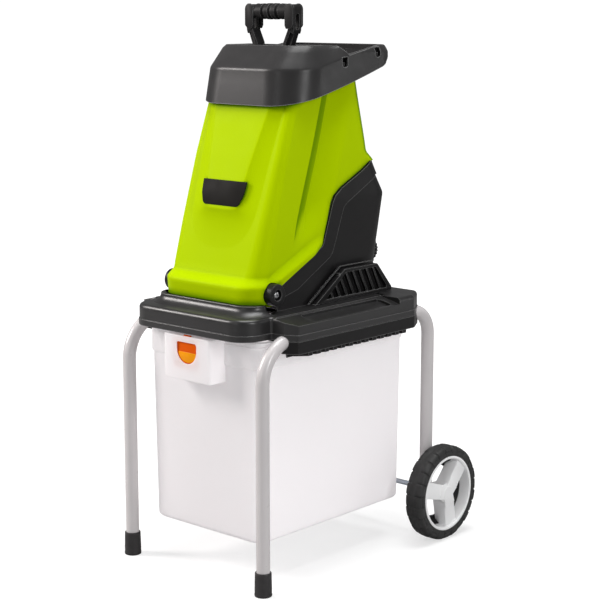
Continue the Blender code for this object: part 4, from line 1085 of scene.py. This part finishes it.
def foot(side, sign):
    """The cap over a front leg's end."""
    place = Matrix.Translation((sign * LEG_X, FRONT_LEG_Y, 0))
    profile = [(0.0, 0.0), (0.0142, 0.0), (0.0158, 0.001), (0.0162, 0.004), (0.0157, 0.006), (0.0158, 0.015),
               (0.0152, 0.042), (0.015, 0.044), (0.0142, 0.045), (0.0129, 0.045), (0.0128, 0.008),
               (0.0, 0.008)]
    cap = lathe(f"foot_cap_{side}", profile, place, FOOT_RUBBER, 48, 40)
    settle(cap, "root", f"front_foot_{side}", slot="foot_plastic")


# ---------------------------------------------------------------- wheels

def tyre(side, sign):
    """A rubber tyre whose shoulders carry zigzag grooves between chunky blocks."""
    low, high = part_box(f"tyre_{side}")
    inner, outer = sorted((abs(low.x), abs(high.x)))
    middle, half = (inner + outer) / 2, (outer - inner) / 2
    bead, crown, blocks, shoulder = 0.0731, high.z - AXLE.z, 12, half - 0.0145
    profile = [(bead, -half + 0.004), (bead + 0.002, -half + 0.0018), (bead + 0.006, -half + 0.0006)]
    profile += [(0.086 - (0.086 - 0.0791) * (1 - t), -half + 0.0004) for t in (0.3, 0.6, 1.0)]
    profile += [(0.086 + 0.0082 * math.sin(a), -half + 0.0004 + 0.009 * (1 - math.cos(a)))
                for a in np.linspace(0.12, math.pi / 2, 9)]
    profile += [(crown, -half + 0.012 + (half - 0.012) * t) for t in (0.3, 0.6, 1.0)]
    profile += [(r, -h) for r, h in reversed(profile[:-1])]

    def ring_point(radius, height, angle):
        """A point of the skin, sunk where the tread has a gap or a groove."""
        phase = (angle * blocks / (2 * math.pi)) % 1.0
        far = abs(height)
        depth = 0.0
        if radius > bead + 0.004:
            gaps = sum(math.exp(-((phase - gap) / 0.028) ** 2) for gap in (0.25, 0.75))
            on_shoulder = ease((far - shoulder) / 0.003) * ease((radius - 0.079) / 0.002)
            depth += 0.0024 * gaps * on_shoulder
            if far > half - 0.004:
                groove = 0.0815 + 0.0045 * (1 if abs(phase - 0.5) > 0.25 else -0.4)
                depth += 0.0016 * math.exp(-((radius - groove) / 0.0014) ** 2)
            if phase < 0.25 or phase > 0.75:
                depth += 0.0007 * on_shoulder
        if far < shoulder:
            depth += 0.0007 * ease((shoulder - far) / 0.002)
        inwards = depth * (0.6 if far > half - 0.004 else 1.0)
        sideways = math.copysign(depth * 0.8, height) if far > half - 0.006 else 0.0
        return across(AXLE, sign) @ polar(radius - inwards, angle, middle + height - sideways)

    rings = [[ring_point(radius, height, angle) for angle in angles(360)] for radius, height in profile]
    skin = facing_out(loop(f"block_tyre_{side}", rings, TYRE), 30)
    settle(skin, f"wheel_{side}", f"tyre_{side}", slot="tyre")


def rim(side, sign):
    """A light grey rim with three broad box spokes, a dark flange inside and a hub cap."""
    place = across(AXLE, sign)
    inner, outer = 0.1914, 0.2314
    middle = (inner + outer) / 2
    profile = lifted(inner, [(0.07, 0.003), (0.0728, 0.003), (0.0728, 0.0358), (0.0745, 0.037),
                             (0.0745, 0.0388), (0.0728, 0.0396), (0.0706, 0.0396), (0.0694, 0.0385),
                             (0.067, 0.014), (0.067, 0.004)])
    barrel = lathe(f"rim_{side}", profile, place, RIM, 96, closed=True)
    right = [(0.0135, 0.0, 0), (0.015, 0.03, 0), (0.017, 0.069, 0)]
    shape = fillet(right + mirrored(-1, reversed(right)), 2)
    slant = lifted(middle, [(0.024, 0.0178), (0.036, 0.0158), (0.072, 0.013), (0.072, 0.03), (0.024, 0.03)])
    spokes = []
    for angle in (46, 166, 286):
        spin = place @ Matrix.Rotation(sign * math.radians(90 - angle), 4, "Z")
        spoke = prism("spoke", shape, middle - 0.012, middle + 0.0185, RIM, placed(spin))
        cut = prism("spoke_top", slant, -0.03, 0.03, RIM, lambda u, v, w, s=spin: s @ Vector((w, u, v)))
        carve(spoke, cut)
        spokes.append(soften(spoke, 0.0012, 2, 50))
    hub = lathe("hub", [(0.0052, 0.1889), (0.015, 0.1889), (0.0195, middle - 0.01), (0.0205, middle + 0.014),
                        (0.0175, middle + 0.0178), (0.0052, middle + 0.0178)], place, RIM, 12, closed=True)
    carve(barrel, *spokes, hub, how="UNION")
    ends = [(sign * x, AXLE.y, AXLE.z) for x in (0.18, 0.2255)]
    carve(barrel, round_bar("bore", *ends, 0.0053, RIM, 32))
    settle(barrel, f"wheel_{side}", f"wheel_rim_{side}", slot="rim_plastic")
    dark = lifted(inner, [(0.052, 0.0008), (0.0668, 0.0008), (0.0668, 0.0165), (0.0655, 0.017),
                          (0.056, 0.006), (0.052, 0.004)])
    settle(lathe(f"inner_flange_{side}", dark, place, BLACK, 96, closed=True), f"wheel_{side}")
    cap = lifted(middle, [(0.0, 0.016), (0.015, 0.016), (0.015, 0.0186), (0.0138, 0.0194), (0.0, 0.0197)])
    settle(lathe(f"cap_{side}", cap, place, RIM, 48), f"wheel_{side}", f"hub_cap_{side}", slot="rim_plastic")


# ---------------------------------------------------------------- collection box

BOX_LOW, BOX_HIGH = 0.078, 0.4553       # the box's floor and its upper edge


def box_ring(z, grow=0.0):
    """The box's plan at height z, a little larger towards the top."""
    share = (z - BOX_LOW) / (BOX_HIGH - BOX_LOW)
    half = 0.139 + 0.003 * share + grow
    corners = [(half, 0.027 - 0.005 * share - grow, 0.022), (half, 0.4325 + 0.004 * share + grow, 0.014)]
    return plan(corners, z, 0.0, 10)


def collection_box():
    """A thin-walled box with a rounded foot, a step and a flange at its top, and a handle in front."""
    levels = [(BOX_LOW + 0.01 * (1 - math.cos(a)), -0.01 * (1 - math.sin(a)))
              for a in np.linspace(0.0, math.pi / 2, 8)]
    levels += [(z, 0.0) for z in np.linspace(0.1, 0.402, 6)]
    levels += [(0.404, 0.0005), (0.4052, 0.002), (0.407, 0.0024), (0.443, 0.0024), (0.445, 0.002),
               (0.446, 0.0), (BOX_HIGH, 0.0)]
    body = solid("milky_box", [box_ring(z, grow) for z, grow in levels], MILKY)
    flange = [plan([(0.15 - s, 0.0215 + s, 0.02), (0.15 - s, 0.4395 - s, 0.01)], z, 0.0, 8)
              for z, s in ((0.448, 0.0006), (0.4486, 0.0), (0.4544, 0.0), (0.455, 0.0006))]
    handle = fillet([(-0.06, 0.03, 0), (-0.06, -0.018, 0.007), (0.06, -0.018, 0.007), (0.06, 0.03, 0)], 6)
    grip_block = soften(plan_prism("handle", handle, 0.373, 0.4549, MILKY), 0.002, 3, 50)
    carve(body, solid("flange", flange, MILKY), grip_block, how="UNION")
    wall = 0.0026
    inside = solid("inside", [box_ring(z, -wall) for z in (BOX_LOW + wall, 0.2, 0.47)], MILKY)
    grip = fillet([(-0.0572, 0.0195, 0.004), (-0.0572, -0.0152, 0.005), (0.0572, -0.0152, 0.005),
                   (0.0572, 0.0195, 0.004)], 5)
    carve(body, inside, plan_prism("grip", grip, 0.36, 0.4525, MILKY))
    opening = [(0.0262 * math.cos(a), 0.429 + 0.025 * math.sin(a), 0) for a in np.linspace(-math.pi, 0, 25)]
    opening = fillet(opening + [(0.0262, 0.444, 0.005), (-0.0262, 0.444, 0.005)], 6)
    carve(body, front_prism("latch_opening", opening, -0.03, -0.01, MILKY))
    settle(body, "box", "box_shell", slot="milky_plastic")
    latch(opening)


def latch(opening):
    """The orange slide behind the handle's wall: a dished finger pull with a bright lower lip."""
    def shrunk(share):
        """The handle's opening, drawn in about its middle."""
        return [(x * share, blend(0.425, z, share)) for x, z in opening]

    front = -0.0149
    plate = front_prism("plate", rounded_box(-0.032, 0.032, 0.396, 0.452, 0.003, 4), -0.0143, -0.0121, ORANGE)
    ring = front_prism("bezel", shrunk(0.985), front, -0.0125, ORANGE)
    carve(ring, front_prism("dish", shrunk(0.9), -0.03, -0.0128, ORANGE))
    lip = [(0.0232 * math.cos(a), 0.425 + 0.019 * math.sin(a)) for a in np.linspace(-math.pi, 0, 19)]
    scoop = front_prism("lip", lip, front, -0.012, AMBER)
    parts = [soften(plate, 0.0005, 2), soften(ring, 0.0005, 2), soften(scoop, 0.0006, 2),
             block("hook", (-0.0092, front, 0.45), (0.0092, -0.0123, 0.4572), ORANGE, 0.0005)]
    settle(joined("orange_latch", parts), "latch", "box_latch", slot="latch_orange")


# ---------------------------------------------------------------- rear knob

def knob():
    """A fluted clamping knob on the housing's back."""
    place = Matrix.Translation((0, FRONT_LEG_Y, KNOB.z)) @ Matrix.Rotation(-math.pi / 2, 4, "X")
    profile = [(0.0044, 0.43), (0.013, 0.43), (0.0145, 0.434), (0.015, 0.469), (0.02, 0.4712),
               (0.0268, 0.474), (0.0285, 0.4775), (0.0285, 0.494), (0.0268, 0.4985), (0.023, 0.5008),
               (0.015, 0.501), (0.012, 0.4998)]

    def fluted(radius, angle):
        """The radius with the rim's 24 flutes."""
        return radius - 0.002 * (0.5 + 0.5 * math.cos(24 * angle)) ** 0.6 if radius > 0.022 else radius

    rings = [[place @ polar(fluted(radius, angle), angle, height) for angle in angles(192)]
             for radius, height in profile]
    settle(facing_out(solid("fluted_knob", rings, BLACK_MATT), 40), "knob", "lock_knob", slot="black_plastic")


# ---------------------------------------------------------------- studio

def studio():
    """A white floor that runs into a white surround, and the lamps."""
    size = 12.0
    look, tree, shader = shader_nodes("white_floor")
    corners = [(-size, -size, 0), (size, -size, 0), (size, size, 0), (-size, size, 0)]
    floor = piece("floor", corners, [(0, 1, 2, 3)], look)
    away = made(tree, "VectorMath", {0: made(tree, "TexCoord").outputs["Object"]}, operation="LENGTH")
    seen = made(tree, "LightPath").outputs["Is Camera Ray"]
    glow = mixed(tree, seen, 0.0, spread(tree, away.outputs["Value"], 0.6, 0.95, 0.7, 2.6), NUMBERS)
    feed(shader, {"Base Color": (0.47, 0.47, 0.47), "Roughness": 0.8, "Specular IOR Level": 0.1,
                  "Emission Color": (1, 1, 1), "Emission Strength": glow})

    world = bpy.data.worlds.new("surround")
    bpy.context.scene.world = world
    world.use_nodes = True
    tree = world.node_tree
    ray = made(tree, "LightPath")
    strength = mixed(tree, ray.outputs["Is Glossy Ray"], 0.26, 0.2, NUMBERS)
    strength = mixed(tree, ray.outputs["Is Camera Ray"], strength, 1.05, NUMBERS)
    feed(tree.nodes["Background"], {"Strength": strength, "Color": (1.0, 1.0, 1.0)})
    lamps()


def lamps():
    """A big soft key at the left, a weaker fill at the right, and small lamps in front, behind and above."""
    target = Vector((0, -0.02, 0.55))
    white, warm = (1.0, 1.0, 1.0), (1.0, 0.955, 0.935)
    for name, place, size_x, size_y, power, colour in (
            ("key", (-2.6, -2.1, 2.3), 1.0, 1.6, 122, warm), ("front", (0.3, -3.7, 1.4), 0.5, 1.8, 10, white),
            ("fill", (3.8, -0.7, 1.9), 0.6, 1.6, 56, white), ("edge", (2.7, 2.8, 0.95), 0.7, 1.4, 9, white),
            ("top", (0.2, 0.1, 3.0), 1.6, 1.6, 70, white)):
        lamp = bpy.data.lights.new(name, "AREA")
        lamp.shape = "RECTANGLE"
        lamp.size, lamp.size_y, lamp.energy, lamp.color = size_x, size_y, power, colour
        obj = bpy.data.objects.new(name, lamp)
        obj.location = place
        obj.rotation_euler = (target - Vector(place)).to_track_quat("-Z", "Y").to_euler()
        bpy.context.scene.collection.objects.link(obj)


def camera():
    """A long lens from the right of the front, a little above the middle."""
    bpy.context.scene.view_settings.view_transform = "Standard"
    lens = bpy.data.cameras.new("camera")
    lens.lens = 97.5
    lens.sensor_width = 36.0
    obj = bpy.data.objects.new("camera", lens)
    obj.location = (2.0726, -2.3021, 1.0519)
    obj.rotation_euler = (math.radians(79.58), 0.0, math.radians(41.785))
    bpy.context.scene.collection.objects.link(obj)
    bpy.context.scene.camera = obj


camera()
studio()
dress_cad_nodes()
green_tower()
label()
hood()
pusher()
base_cover()
base_collar()
tray_ribs()
motor_housing()
legs()
for side_name, side_sign in SIDES:
    tyre(side_name, side_sign)
    rim(side_name, side_sign)
collection_box()
knob()
